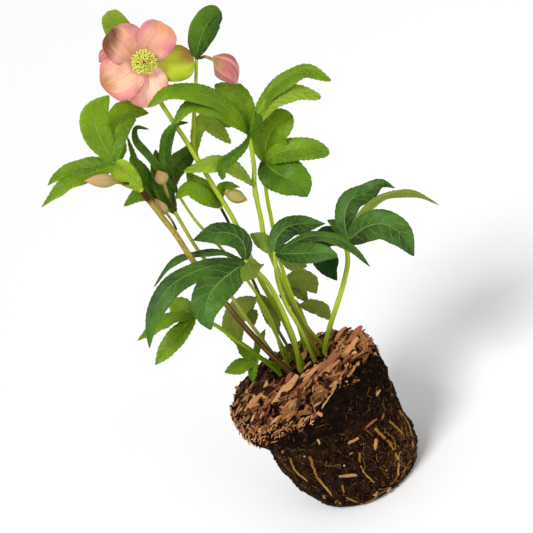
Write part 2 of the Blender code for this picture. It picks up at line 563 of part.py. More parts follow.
def chip(centre, outward, length, width, thick, spin, tip=(0, 0)):
    """A flake of bark lying on the surface, its corners cut unevenly."""
    out = unit(np.asarray(outward, float))
    flat = unit(np.cross(out, (0.0, 0.0, 1.0)) if abs(out[2]) < 0.9 else np.array((1.0, 0.0, 0.0)))
    up = np.cross(out, flat)
    long = cos(spin) * flat + sin(spin) * up
    wide = np.cross(out, long)
    out = unit(out + tip[0] * long + tip[1] * wide)
    long = unit(long - out * np.dot(long, out))
    wide = np.cross(out, long)
    points = []
    for level in (-0.5, 0.5):
        for a, b in ((-1, -1), (1, -1), (1, 1), (-1, 1)):
            cut = rng.uniform(0.7, 1.0, 2)
            points.append(centre + long * a * length / 2 * cut[0] + wide * b * width / 2 * cut[1]
                          + out * level * thick)
    faces = ((3, 2, 1, 0), (4, 5, 6, 7), (0, 1, 5, 4), (1, 2, 6, 5), (2, 3, 7, 6), (3, 0, 4, 7))
    return body("chip", points, faces)


heights = [ring[0] for ring in RINGS]
shell = []
for height in heights:
    for k in range(AROUND):
        shell.append(ball_point(2 * pi * k / AROUND, height))
middle, half = ring_at(110)
for share in (0.85, 0.6, 0.3):
    for k in range(AROUND):
        angle = 2 * pi * k / AROUND
        shell.append(np.array((middle + half * share * cos(angle), half * share * sin(angle),
                               soil_height(share) + (0.5 * sin(5 * angle) if share > 0.7 else 0))))
shell.append(np.array((middle, 0, SOIL_TOP)))
rows = len(heights) + 3
faces = [tuple(reversed(range(AROUND)))]
for row in range(rows - 1):
    for k in range(AROUND):
        a = row * AROUND + k
        b = row * AROUND + (k + 1) % AROUND
        faces.append((a, b, b + AROUND, a + AROUND))
for k in range(AROUND):
    faces.append(((rows - 1) * AROUND + k, (rows - 1) * AROUND + (k + 1) % AROUND, rows * AROUND))
soil = body("soil", shell, faces)

# Chips that show plainly: (across, up), length, width, spin in degrees.
CHIPS = (
    ((-19, -3), 27, 8, 15), ((26, 1), 21, 6, 10), ((5, -1), 25, 8, 20), ((47, 4), 15, 7, 25),
    ((-45, -5), 18, 8, -15), ((-60, -10), 15, 9, 70), ((-58, -22), 12, 7, 20), ((-42, -22), 17, 8, -20),
    ((-22, -24), 18, 7, 15), ((-4, -27), 14, 7, -35), ((-30, -14), 15, 8, 40), ((-10, -14), 19, 8, -10),
    ((10, -12), 16, 6, 35), ((30, -8), 15, 7, -25), ((48, -5), 14, 6, 5), ((57, 2), 11, 6, 60),
    ((-52, 4), 14, 7, 30), ((-38, 8), 15, 7, -40), ((40, 12), 15, 7, 30), ((55, 12), 11, 6, -30),
    ((12, -67), 10, 4, 10), ((49, -39), 15, 5, 30), ((27, -76), 17, 5, -60), ((-6, -91), 14, 4, -10),
    ((55, -90), 9, 4, 60), ((7, -114), 9, 5, 35), ((31, -61), 14, 2.5, 20), ((-4, -35), 9, 5, -30),
    ((-14, -53), 8, 2.5, 45), ((-44, -48), 9, 5, 20), ((-36, -72), 8, 4, -50), ((18, -45), 9, 5, -20),
    ((46, -62), 8, 4, 15), ((-22, -86), 8, 4, 30), ((20, -97), 9, 4, 20), ((44, -100), 9, 4, -30),
)
parts = [soil]
for (across, up), length, width, spin in CHIPS:
    where, out = on_ball(across, up)
    parts.append(chip(where + out * 0.3, out, length, width, 3.2, radians(spin), rng.uniform(-0.12, 0.12, 2)))
for k in range(12):
    angle = rng.uniform(0.05, pi - 0.05) if k % 2 else rng.uniform(0, 2 * pi)
    share = 0.93 * rng.uniform(0.3, 1) ** 0.5
    where = np.array((middle + half * share * cos(angle), half * share * sin(angle), soil_height(share) + 0.2))
    parts.append(chip(where, (0, 0, 1), rng.uniform(10, 17), rng.uniform(5, 8), 3.2, rng.uniform(0, pi),
                      rng.uniform(-0.15, 0.15, 2)))
for k in range(4):
    angle = rng.uniform(0, pi)
    height = rng.uniform(12, 100)
    where = ball_point(angle, height, 0.2)
    parts.append(chip(where, (cos(angle), sin(angle), 0), rng.uniform(8, 14), rng.uniform(3.5, 6), 2.8,
                      rng.uniform(0, pi)))

# Roots that run down the outside: (across, up) points as they show, and radius.
ROOTS = (
    (((-26, -62), (-28, -80), (-25, -95), (-21, -109)), 1.3),
    (((33, -66), (38, -84), (38, -98), (32, -110)), 1.4),
    (((57, -62), (59, -74), (57, -86)), 1.1),
    (((-40, -52), (-42, -66), (-37, -80)), 1.1),
    (((-13, -96), (-14, -106), (-8, -114)), 1.0),
    (((46, -66), (50, -78), (48, -92)), 1.1),
    (((12, -78), (8, -92), (12, -106)), 1.0),
)
for points, radius in ROOTS:
    line = []
    for across, up in points:
        where, out = on_ball(across, up)
        line.append(where + out * 0.4)
    parts.append(tube(line, radius, radius * 0.8, count=6, sides=5))
for k in range(4):
    angle = 0.35 + 0.6 * k
    line = [ball_point(angle + 0.05 * sin(2.1 * n + k), 78 - 17 * n, 0.3) for n in range(4)]
    parts.append(tube(line, 1.3, 1.0, count=6, sides=5))

ball_obj = fused("root_ball", parts, SOIL)
holes = bpy.data.collections.new("holes")
scene.collection.children.link(holes)
for name, (foot, rise, start, end, tint) in STEMS.items():
    ground = on_soil(*foot)
    line = [ground - (0, 0, HOLE_DEPTH + CLEAR), ground + (0, 0, 7)]
    cutter = tube(line, start + CLEAR + 0.2, start + CLEAR + 0.9)
    cutter.name = "hole_" + name
    pieces_in_work.objects.unlink(cutter)
    holes.objects.link(cutter)
cut = ball_obj.modifiers.new("holes", "BOOLEAN")
cut.operation = "DIFFERENCE"
cut.solver = "MANIFOLD"
cut.operand_type = "COLLECTION"
cut.collection = holes
settle(ball_obj)
for cutter in list(holes.objects):
    bpy.data.objects.remove(cutter, do_unlink=True)
bpy.data.collections.remove(holes)
bpy.data.collections.remove(pieces_in_work)
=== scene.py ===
# %% [markdown]
# # Hellebore with its root ball
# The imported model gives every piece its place. This script dresses it: fine leaves with saw edges and veins,
# speckled stems, an open bloom with stamens, and a crumbly ball of soil with bark chips and roots.
# Each new piece repeats the measures of the solid that it stands for, so it sits where that solid sits.

import bpy
import numpy as np
from math import cos, pi, radians, sin
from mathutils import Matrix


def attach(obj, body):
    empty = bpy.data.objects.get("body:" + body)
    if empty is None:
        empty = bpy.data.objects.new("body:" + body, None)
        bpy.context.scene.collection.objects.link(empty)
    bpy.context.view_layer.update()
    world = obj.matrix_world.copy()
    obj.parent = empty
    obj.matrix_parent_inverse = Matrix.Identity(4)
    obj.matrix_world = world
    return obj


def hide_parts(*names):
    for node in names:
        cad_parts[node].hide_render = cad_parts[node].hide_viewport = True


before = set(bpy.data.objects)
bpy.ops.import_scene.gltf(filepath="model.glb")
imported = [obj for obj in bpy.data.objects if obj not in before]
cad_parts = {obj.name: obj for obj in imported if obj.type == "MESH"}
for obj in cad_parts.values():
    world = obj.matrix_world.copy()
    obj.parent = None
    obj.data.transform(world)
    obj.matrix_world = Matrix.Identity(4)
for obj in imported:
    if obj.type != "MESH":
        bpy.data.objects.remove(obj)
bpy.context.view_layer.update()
MM = 0.001

# %% [markdown]
# Lengths are in mm. A point is given as (across, up, front): across and up as they look from the front with
# the view falling 22 degrees, and front the distance that it stands nearer than the crown. A sight line is
# followed to that distance, so a leaf keeps its outline in the picture whatever depth it is given.

# %% Places in the plant
CROWN = np.array((-8.0, 0.0, 110.0))
FALL = radians(22)
LEAN = radians(27)
ACROSS = np.array((1.0, 0.0, 0.0))
UPWARD = np.array((0.0, sin(FALL), cos(FALL)))
TOWARD = np.array((0.0, -cos(FALL), sin(FALL)))
AIM = CROWN + ACROSS * 13.7 + UPWARD * 96.3
DISTANCE = 1000.0
EYE = AIM + TOWARD * DISTANCE
SOIL_TOP = 113.0
RIM_HEIGHT = 110.0


def unit(v):
    return v / np.linalg.norm(v, axis=-1, keepdims=True)


def sight(across, up, axis, level):
    """Eye + way to the point (across, up), as far as the plane where the axis has this level."""
    aim = CROWN + ACROSS * across + UPWARD * up
    return EYE + (aim - EYE) * (level - EYE[axis]) / (aim[axis] - EYE[axis])


def seen(across, up, front):
    """Sight line through (across, up), cut by the upright plane that stands front mm before the crown."""
    return sight(across, up, 1, -front)


def on_soil(across, up, height=SOIL_TOP):
    """Sight line through (across, up), cut by the level plane of the soil's top."""
    return sight(across, up, 2, height)


def through(points, count):
    """Cubic through each pair of points, its slopes from their neighbours, then spaced evenly by length."""
    p = np.array(points, float)
    p = np.vstack([2 * p[0] - p[1], p, 2 * p[-1] - p[-2]])
    t = np.linspace(0, 1, 24, endpoint=False)[:, None]
    fine = []
    for a, b, c, d in zip(p[:-3], p[1:-2], p[2:-1], p[3:]):
        fine.append(b + 0.5 * t * (c - a + t * (2 * a - 5 * b + 4 * c - d + t * (3 * (b - c) + d - a))))
    fine = np.vstack(fine + [p[-2:-1]])
    run = np.r_[0, np.cumsum(np.linalg.norm(np.diff(fine, axis=0), axis=1))]
    where = np.linspace(0, run[-1], count)
    return np.stack([np.interp(where, run, fine[:, k]) for k in range(3)], axis=1)


def path(points, count):
    """The smooth path through points given as (across, up, front)."""
    return through([seen(*point) for point in points], count)


def length_of(points):
    """Sum of the steps between points."""
    return float(np.linalg.norm(np.diff(points, axis=0), axis=1).sum())


def link(name, data):
    """Puts a new object into the scene."""
    made = bpy.data.objects.new(name, data)
    bpy.context.scene.collection.objects.link(made)
    return made


def stand(thing, side, above, back, place):
    """Places a camera or lamp: its three axes and its place are the columns of one matrix."""
    matrix = np.eye(4)
    matrix[:3] = np.stack([side, above, back, place], axis=1)
    thing.matrix_world = matrix.T.tolist()


print("the eye stands", round(DISTANCE), "mm from its aim")

# %% [markdown]
# The camera looks down by 22 degrees and is rolled by 27, because the plant is tilted in the picture while
# the part stands upright on its flat underside. A long lens at one metre keeps the leaves nearly in
# proportion.

# %% Camera
FRAME_WIDE = 447.7
SENSOR = 36
lens = bpy.data.cameras.new("camera")
lens.sensor_width = SENSOR
lens.lens = SENSOR * DISTANCE / FRAME_WIDE
camera = link("camera", lens)
bpy.context.scene.camera = camera
to_right = ACROSS * cos(LEAN) - UPWARD * sin(LEAN)
stand(camera, to_right, ACROSS * sin(LEAN) + UPWARD * cos(LEAN), TOWARD, EYE * MM)
print("lens of", round(lens.lens, 1), "mm")

# %% [markdown]
# The light is soft, as in a bright room: a pale surrounding, a broad and distant source above and to the
# left, and a weak lamp from the right that opens the shadows. The floor is plain and pale.

# %% Light and floor
HALF_FLOOR = 60.0
PLANT_MIDDLE = np.array((0, 0, 0.25))
world = bpy.data.worlds.new("white room")
bpy.context.scene.world = world
world.use_nodes = True
world.node_tree.nodes["Background"].inputs["Color"].default_value = (1, 1, 1, 1)
world.node_tree.nodes["Background"].inputs["Strength"].default_value = 0.5
bpy.context.scene.view_settings.view_transform = "Standard"


def lamp(name, place, power, wide=None, spread=None):
    """A square lamp, or a distant one given its spread, that faces the middle of the plant."""
    light = bpy.data.lights.new(name, "AREA" if wide else "SUN")
    light.energy = power
    if wide:
        light.size = wide
    else:
        light.angle = radians(spread)
    back = unit(np.array(place) - PLANT_MIDDLE)
    side = unit(np.cross((0, 0, 1), back))
    stand(link(name, light), side, np.cross(back, side), back, place)


lamp("key", (-0.8, -1.0, 1.7), 2.35, spread=22)
lamp("fill", (0.8, -1.3, 0.8), 6, wide=0.9)
floor_mesh = bpy.data.meshes.new("floor")
floor_mesh.from_pydata([(x * HALF_FLOOR, y * HALF_FLOOR, 0) for x, y in ((-1, -1), (1, -1), (1, 1), (-1, 1))],
                       [], [(0, 1, 2, 3)])
floor = link("floor", floor_mesh)
pale = bpy.data.materials.new("pale floor")
pale.use_nodes = True
pale.node_tree.nodes["Principled BSDF"].inputs["Base Color"].default_value = (0.94, 0.94, 0.94, 1)
pale.node_tree.nodes["Principled BSDF"].inputs["Roughness"].default_value = 0.9
floor.data.materials.append(pale)
print("a floor and two lights")

# %% [markdown]
# Finishes are built from nodes, written as sums. A small class wraps one socket, so that 1 - mask or grain *
# 0.4 adds the Math nodes for it. A finish that lies on a leaf or stem reads the piece's own map, which runs
# across and along it, so veins and streaks follow the form. Colours are given from 0 to 255.

# %% Shader sums


def tint(red, green, blue):
    """A colour given from 0 to 255, as the linear values that light adds up in."""
    parts = np.array((red, green, blue)) / 255
    linear = np.where(parts < 0.04045, parts / 12.92, ((parts + 0.055) / 1.055) ** 2.4)
    return tuple(float(x) for x in linear)


class Wire:
    """One output in a finish; its sums and products are new outputs."""

    def __init__(self, paint, socket):
        self.paint = paint
        self.socket = socket

    def sum_with(self, operation, *others, swap=False):
        ends = [self, *others]
        if swap:
            ends.reverse()
        return self.paint.node("ShaderNodeMath", {"operation": operation}, dict(enumerate(ends)))

    def __add__(self, other):
        return self.sum_with("ADD", other)

    def __sub__(self, other):
        return self.sum_with("SUBTRACT", other)

    def __mul__(self, other):
        return self.sum_with("MULTIPLY", other)

    def __rsub__(self, other):
        return self.sum_with("SUBTRACT", other, swap=True)

    __radd__ = __add__
    __rmul__ = __mul__

    def __abs__(self):
        return self.sum_with("ABSOLUTE")

    def most(self, other):
        return self.sum_with("MAXIMUM", other)

    def part(self):
        """The part after the decimal point."""
        return self.sum_with("FRACT")

    def ease(self, low, high):
        """0 below low, 1 above high, and smooth between."""
        settings = {"interpolation_type": "SMOOTHSTEP"}
        inputs = {"Value": self, "From Min": low, "From Max": high}
        return self.paint.node("ShaderNodeMapRange", settings, inputs)


class Paint:
    """A finish: its node tree, its Principled shader and the method that adds any node."""

    def __init__(self, name):
        self.material = bpy.data.materials.new(name)
        self.material.use_nodes = True
        self.tree = self.material.node_tree
        self.shader = self.tree.nodes["Principled BSDF"]

    def plug(self, value, socket):
        if isinstance(value, Wire):
            self.tree.links.new(value.socket, socket)
        else:
            socket.default_value = (*tint(*value), 1.0) if socket.type == "RGBA" else value

    def node(self, kind, settings=None, inputs=None, output=0):
        """Adds a node: settings first, then the values or wires of its sockets."""
        made = self.tree.nodes.new(kind)
        for name, value in (settings or {}).items():
            setattr(made, name, value)
        for name, value in (inputs or {}).items():
            self.plug(value, made.inputs[name])
        return Wire(self, made.outputs[output])

    def layers(self, colour, *coats):
        """The first colour, under coats of (colour, share): each covers what lies below by its share."""
        for coat, share in coats:
            inputs = {0: share, 6: colour, 7: coat}
            colour = self.node("ShaderNodeMix", {"data_type": "RGBA"}, inputs, output=2)
        return colour

    def place(self):
        return self.node("ShaderNodeTexCoord", output=3)

    def grain(self, scale, detail=3.0, rough=0.55, stretch=None, along=None):
        """Noise between 0 and 1 at a scale per metre, longer where stretch is below 1."""
        spot = along or self.place()
        if stretch:
            spot = self.node("ShaderNodeMapping", {}, {"Vector": spot, "Scale": stretch})
        inputs = {"Vector": spot, "Scale": scale, "Detail": detail, "Roughness": rough}
        return self.node("ShaderNodeTexNoise", {}, inputs)

    def streaks(self, spot, across, along, detail=3.0, rough=0.55):
        """Noise on the piece's own map, so many times finer across it than along it."""
        return self.grain(1.0, detail, rough, (across, along, 1.0), spot)

    def kept(self, name):
        """A number that the piece holds for each of its points."""
        return self.node("ShaderNodeAttribute", {"attribute_name": name}, output=2)

    def map(self):
        """The piece's own map: across from 0 to 1, and along from 0 to 1."""
        spot = self.node("ShaderNodeUVMap", {"uv_map": "grown"})
        return *(self.node("ShaderNodeSeparateXYZ", {}, {0: spot}, output) for output in (0, 1)), spot

    def finish(self, colour, rough, height=None, deep=0.0004, strength=0.6, scatter=0.0, shine=0.4):
        constants = {"Specular IOR Level": shine, "Subsurface Weight": scatter, "Subsurface Scale": 0.002}
        for name, value in {"Base Color": colour, "Roughness": rough, **constants}.items():
            self.plug(value, self.shader.inputs[name])
        if height is not None:
            inputs = {"Strength": strength, "Distance": deep, "Height": height}
            self.plug(self.node("ShaderNodeBump", {}, inputs), self.shader.inputs["Normal"])
        return self.material


print("shader sums are ready")

# %% [markdown]
# A leaf of this plant is leathery. Its upper face is darker and a little glossy, with a sunk midrib, side
# veins that lean toward the tip and a fine net between them; its underside is paler and dull. The net is a
# cell pattern, and the big veins are lines in the leaf's own map. Painting them with the map, and not as
# threads of mesh, keeps them exactly on the blade.

# %% Leaf finish
SIDE_VEINS = 9.0
NET_SCALE = 430.0


def leaf_paint(name, upper, lit, under, vein, rough=0.34, net=0.65):
    """Upper colour with painted light: the lit colour in patches, fewer near the hub, and one half of the
    blade painted lighter, as if lit from that side; then net, side veins, midrib and margin; the underside
    has its own colour."""
    paint = Paint(name)
    across, along, _ = paint.map()
    out = abs(across * 2.0 - 1.0)
    wander = paint.grain(90.0, 2.0) * 0.35
    line = abs((along * SIDE_VEINS - out * 1.5 + wander).part() - 0.5)
    side_vein = line.ease(0.075, 0.0) * out.ease(1.0, 0.6) * paint.grain(60.0, 2.0).ease(0.25, 0.6)
    midrib = (out + along * 0.05).ease(0.1, 0.035)
    cells = paint.node("ShaderNodeTexVoronoi", {"feature": "DISTANCE_TO_EDGE"},
                       {"Vector": paint.place(), "Scale": NET_SCALE})
    mesh_lines = cells.ease(0.1, 0.0)
    # Painted light and shade: patches of the lit colour, fewer near the hub, and a lighter half on one side of
    # the midrib.
    light_patch = (paint.grain(38.0, 4.0) + along * 0.12 - 0.06).ease(0.36, 0.68)
    half = (across + paint.grain(25.0) * 0.3).ease(0.58, 0.72)
    pale = paint.layers(under, (vein, side_vein.most(midrib) * 0.6 + mesh_lines * 0.2))
    colour = paint.layers(
        upper, (lit, light_patch * 0.6 + paint.kept("tone") * 0.35 + half * 0.3 - 0.12),
        (vein, mesh_lines * net * 0.5), (vein, side_vein * 0.75), (vein, midrib * (0.75 - along * 0.4)),
        (vein, out.ease(0.95, 1.0) * 0.35), (pale, paint.kept("under")))
    height = 0.0 - side_vein * 0.9 - midrib * 0.8 - mesh_lines * 0.3 + paint.grain(700.0, 3.0) * 0.25
    dull = paint.grain(160.0, 2.0) * 0.16 + (rough - 0.04)
    return paint.finish(colour, dull, height, 0.0009, 0.8, 0.04, 0.2)


# Each finish: its name, then the upper, lit, under and vein colours.
LEAF_TINTS = {
    "leaf_green": ("dark leaf", (0, 36, 0), (66, 110, 28), (108, 128, 34), (132, 164, 78), 0.34, 0.4),
    "shaded_leaf": ("shaded leaf", (0, 34, 0), (10, 62, 2), (30, 72, 8), (50, 90, 20)),
    "bract_green": ("bract", (70, 108, 0), (112, 150, 0), (130, 156, 36), (150, 180, 50)),
    "olive_leaf": ("olive leaf", (96, 116, 26), (128, 146, 50), (120, 136, 42), (146, 160, 66), 0.45),
    "deep_bract": ("deep bract", (24, 62, 0), (80, 122, 2), (92, 128, 16), (118, 150, 36)),
    "sheath": ("sheath", (104, 140, 4), (160, 188, 24), (140, 168, 40), (206, 222, 96)),
    "pale_leaf": ("pale leaf", (118, 148, 24), (142, 170, 48), (138, 164, 54), (168, 194, 80)),
}
paints = {key: leaf_paint(*tints) for key, tints in LEAF_TINTS.items()}
print("leaf finishes:", ", ".join(paints))

# %% [markdown]
# Stems and stalks are smooth and a little grooved. The leaf stalks are yellow-green, and the older flowering
# stems are covered with fine dark purple-brown specks. Buds and sepals have soft streaks along their length.

# %% Stem, bud and sepal finishes


def stem_paint(name, low, high, speck, amount, turn=(0.3, 0.6), light=None, joint=None):
    """One colour at the foot and another above, with the change between two shares of the length, then specks,
    pale stripes on the ribs that are a painted highlight, stronger higher up, and a dark joint at the top."""
    paint = Paint(name)
    across, along, spot = paint.map()
    streak = paint.streaks(spot, 26.0, 5.0)
    dots = paint.grain(850.0, 2.0, 0.7, stretch=(1.0, 1.0, 0.45)).ease(0.46 + 0.1 * (1 - amount), 0.62)
    clouds = paint.grain(60.0, 3.0).ease(0.35, 0.65)
    ribs = abs((across * 6.0 + streak * 0.5).part() - 0.5).ease(0.28, 0.5)
    colour = paint.layers(low, (high, (along + streak * 0.3 - 0.15).ease(*turn)),
                          (speck, dots * (amount * 0.75) + clouds * (amount * 0.35)),
                          (high, streak.ease(0.5, 0.8) * 0.35))
    # Painted highlight: pale stripes along the ridges of the ribs stand for the light on them.
    if light:
        colour = paint.layers(colour, (light, ribs * 0.6 * (along.ease(0.1, 0.5) * 0.6 + 0.4)))
    if joint:
        colour = paint.layers(colour, (joint, (along + streak * 0.03).ease(0.95, 0.975)))
    height = streak * 0.6 + dots * 0.4 + ribs * 0.5
    return paint.finish(colour, paint.grain(300.0) * 0.15 + 0.34, height, 0.0004, 0.5, 0.03, 0.05)


def bud_paint(name, heart, middle, edge, rim=0.0):
    """Heart colour at the stalk, edge colour in streaks, then painted light on the raised rim of each of the
    five wrapped sepals and painted shade on the step down to the next.
    """
    paint = Paint(name)
    across, along, spot = paint.map()
    streak = paint.streaks(spot, 34.0, 2.4, 4.0)
    colour = paint.layers(heart, (middle, (along + streak * 0.5).ease(0.35, 0.75)),
                          (edge, (along * 0.6 + streak * 0.7).ease(0.55, 0.95) * 0.85),
                          (heart, paint.grain(260.0, 4.0).ease(0.5, 0.75) * 0.5))
    # Painted light on the raised rim of each wrapped sepal, and painted shade on the step down to the next
    # one.
    if rim:
        wrap = (across * 5.0 + along * 0.5).part()
        colour = paint.layers(colour, (edge, wrap.ease(0.6, 0.8) * rim),
                              ((126, 58, 54), wrap.ease(0.84, 0.96) * rim * 0.9))
    return paint.finish(colour, paint.grain(200.0) * 0.1 + 0.42, streak, 0.0004, 0.5, 0.1, 0.25)


def sepal_paint(name, heart, middle, edge, tip, tip_share, blush, side=0.0):
    """Peach at the heart, rosier at the rim, with fine veins that run outward and a tip of its own colour;
    side moves the tip's colour toward one edge."""
    paint = Paint(name)
    across, along, spot = paint.map()
    out = abs(across * 2.0 - 1.0)
    streak = paint.streaks(spot, 15.0, 1.6, 4.0, 0.6)
    cloud = paint.grain(55.0, 3.0)
    reach = along + streak * 0.3 - out * 0.2 + across * side - 0.5 * side
    lines = paint.streaks(spot, 64.0, 1.3, 3.0, 0.5).ease(0.48, 0.64)
    colour = paint.layers(
        heart, (middle, (along * 1.3 + streak * 0.4).ease(0.2, 0.8)),
        (edge, (out * 0.8 + along * 0.35 + cloud * 0.5 + streak * 0.35).ease(0.9, 1.5)),
        (edge, (cloud + streak * 0.7).ease(0.78, 1.0) * blush), (tip, reach.ease(0.72, 1.08) * tip_share),
        (edge, lines * 0.6), ((150, 104, 60), lines * along.ease(0.45, 1.0) * tip_share * 0.5),
        ((196, 140, 108), paint.kept("under") * 0.3))
    height = streak * 1.0 + lines * 0.3 + paint.grain(500.0) * 0.15 + paint.grain(75.0, 2.0) * 6.0
    return paint.finish(colour, paint.grain(150.0) * 0.1 + 0.5, height, 0.0005, 0.5, 0.12, 0.2)


# Each finish: its name, the colours of foot, upper part and specks, the amount of specks, then the rest.
# The colour after the change, where one is given, is the painted highlight on the ribs.
STEM_TINTS = {
    "stalk_green": ("yellow green stalk", (104, 124, 8), (158, 180, 40), (110, 100, 24), 0.2, (0.08, 0.5),
                    (212, 222, 104)),
    "green_stalk": ("green stalk", (84, 112, 0), (124, 156, 14), (100, 96, 20), 0.2, (0.3, 0.6),
                    (160, 190, 50)),
    "brown_stem": ("speckled stem", (56, 28, 0), (168, 152, 66), (104, 72, 30), 0.7, (0.35, 0.6),
                   (184, 166, 100), (70, 42, 20)),
    "bright_stalk": ("bright stalk", (132, 154, 10), (192, 218, 32), (130, 122, 30), 0.15, (0.08, 0.5),
                     (228, 238, 110)),
    "tan_stalk": ("tan stalk", (104, 124, 8), (170, 174, 50), (116, 96, 40), 0.35, (0.08, 0.5),
                  (226, 218, 140)),
    "shoot_stem": ("shoot stem", (104, 98, 20), (168, 190, 50), (110, 74, 36), 0.3, (0.2, 0.45),
                   (208, 218, 110)),
    "dark_stem": ("dark stem", (120, 124, 40), (84, 50, 18), (52, 28, 12), 0.8, (0.3, 0.7)),
}
# Each finish: its name, the colours of heart, middle and edge, and how strong the painted rim light and shade
# are.
BUD_TINTS = {
    "bud_pink": ("pink bud", (152, 122, 76), (178, 92, 90), (214, 142, 138), 0.75),
    "bud_tan": ("tan bud", (156, 146, 76), (184, 162, 98), (188, 146, 106), 0.3),
    "bud_green": ("green bud", (140, 144, 58), (160, 152, 66), (178, 150, 96), 0.3),
    "stamen_yellow": ("stamens", (150, 160, 24), (204, 202, 60), (234, 228, 120)),
    "carpel": ("carpels", (150, 140, 50), (132, 104, 48), (110, 76, 40)),
}
PEACH = (246, 204, 162)
# Each finish: its name, the colours of heart, middle, edge and tip, then how strong tip and blush are.
SEPAL_TINTS = (
    ("sepal, brown tip", PEACH, (230, 172, 136), (200, 122, 122), (88, 46, 20), 1.0, 0.35, 0.55),
    ("sepal, rose", PEACH, (228, 168, 140), (206, 124, 130), (208, 150, 96), 0.75, 0.4, -0.4),
    ("sepal, green", (224, 200, 116), (188, 196, 46), (146, 172, 18), (150, 88, 54), 0.8, 0.2, 0.5),
    ("sepal, pink foot", (255, 222, 186), (255, 204, 172), (236, 148, 146), (226, 160, 138), 0.4, 0.4),
    ("sepal, streaked", (250, 208, 168), (242, 190, 156), (216, 126, 130), (168, 120, 60), 0.9, 0.35),
)
paints.update({key: stem_paint(*tints) for key, tints in STEM_TINTS.items()})
paints.update({key: bud_paint(*tints) for key, tints in BUD_TINTS.items()})
sepal_paints = [sepal_paint(*tints) for tints in SEPAL_TINTS]
print(len(paints) + len(sepal_paints), "finishes so far")

# %% [markdown]
# Every grown form is a grid: a closed section carried along a path. Grids are gathered in a heap and become
# one mesh, with a map, a tone for each form, and a mark on the undersides. Working whole grids out at once
# keeps even the root ball quick to make.

# %% Heap of grids


class Heap:
    """Gathers closed grids and turns them into one piece."""

    def __init__(self, *finishes):
        self.finishes = finishes
        self.grids = []
        self.count = 0

    def add(self, grid, tone=0.5, under=0.0, finish=0, around=None):
        """A grid of rows, each row a closed ring of points; ring ends are shut with one face each."""
        rows, ring = grid.shape[:2]
        index = self.count + np.arange(rows * ring).reshape(rows, ring)
        nearby = np.roll(index, -1, axis=1)
        quads = np.stack([index[:-1], nearby[:-1], nearby[1:], index[1:]], axis=-1).reshape(-1, 4)
        across = np.linspace(0, 1, ring, endpoint=False) if around is None else around
        marks = (across, np.linspace(0, 1, rows)[:, None], tone, under)
        marks = np.stack([np.broadcast_to(mark, (rows, ring)).reshape(-1) for mark in marks], axis=1)
        ends = (index[0][::-1].tolist(), index[-1].tolist())
        self.grids.append((grid.reshape(-1, 3), marks, quads, ends, finish))
        self.count += rows * ring

    def piece(self, name, slot, *nodes, smooth=True):
        """Makes the mesh, gives it its map, marks and finishes, and lets it stand for its nodes."""
        points, marks, quads, ends, finishes = zip(*self.grids)
        mesh = bpy.data.meshes.new(name)
        faces = np.concatenate(quads).tolist() + [end for pair in ends for end in pair]
        mesh.from_pydata((np.concatenate(points) * MM).tolist(), [], faces)
        marks = np.concatenate(marks).astype(np.float32)
        order = np.empty(len(mesh.loops), np.int32)
        mesh.loops.foreach_get("vertex_index", order)
        mesh.uv_layers.new(name="grown").data.foreach_set("uv", marks[order, :2].ravel())
        for column, label in ((2, "tone"), (3, "under")):
            mesh.attributes.new(label, "FLOAT", "POINT").data.foreach_set("value", marks[:, column].copy())
        for paint in self.finishes:
            mesh.materials.append(paint)
        chosen = np.concatenate([np.repeat(finishes, [len(q) for q in quads]), np.repeat(finishes, 2)])
        mesh.polygons.foreach_set("material_index", chosen.astype(np.int32))
        mesh.polygons.foreach_set("use_smooth", np.full(len(mesh.polygons), smooth))
        made = link(name, mesh)
        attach(made, "root")
        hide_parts(*nodes)


def hoop(line, radius, sides=14, ridge=0.0, ridges=5):
    """Rings square to a path: path + radius * (cos * side + sin * other), swelling at each ridge."""
    along = unit(np.gradient(line, axis=0))
    side = unit(np.cross(along, (0.13, 1.0, 0.07)))
    other = np.cross(along, side)
    turn = np.linspace(0, 2 * pi, sides, endpoint=False)
    reach = np.asarray(radius, float).reshape(-1, 1) * (1 + ridge * np.cos(ridges * turn))[None]
    return line[:, None] + reach[..., None] * (
        np.cos(turn)[None, :, None] * side[:, None] + np.sin(turn)[None, :, None] * other[:, None])


rng = np.random.default_rng(31)
COLUMNS = 13
BLADE_THICK = 0.45
TOOTH_STEP = 4.2
TOOTH_ROWS = 5
PLAIN_ROWS = 44
KNOB = 2.3


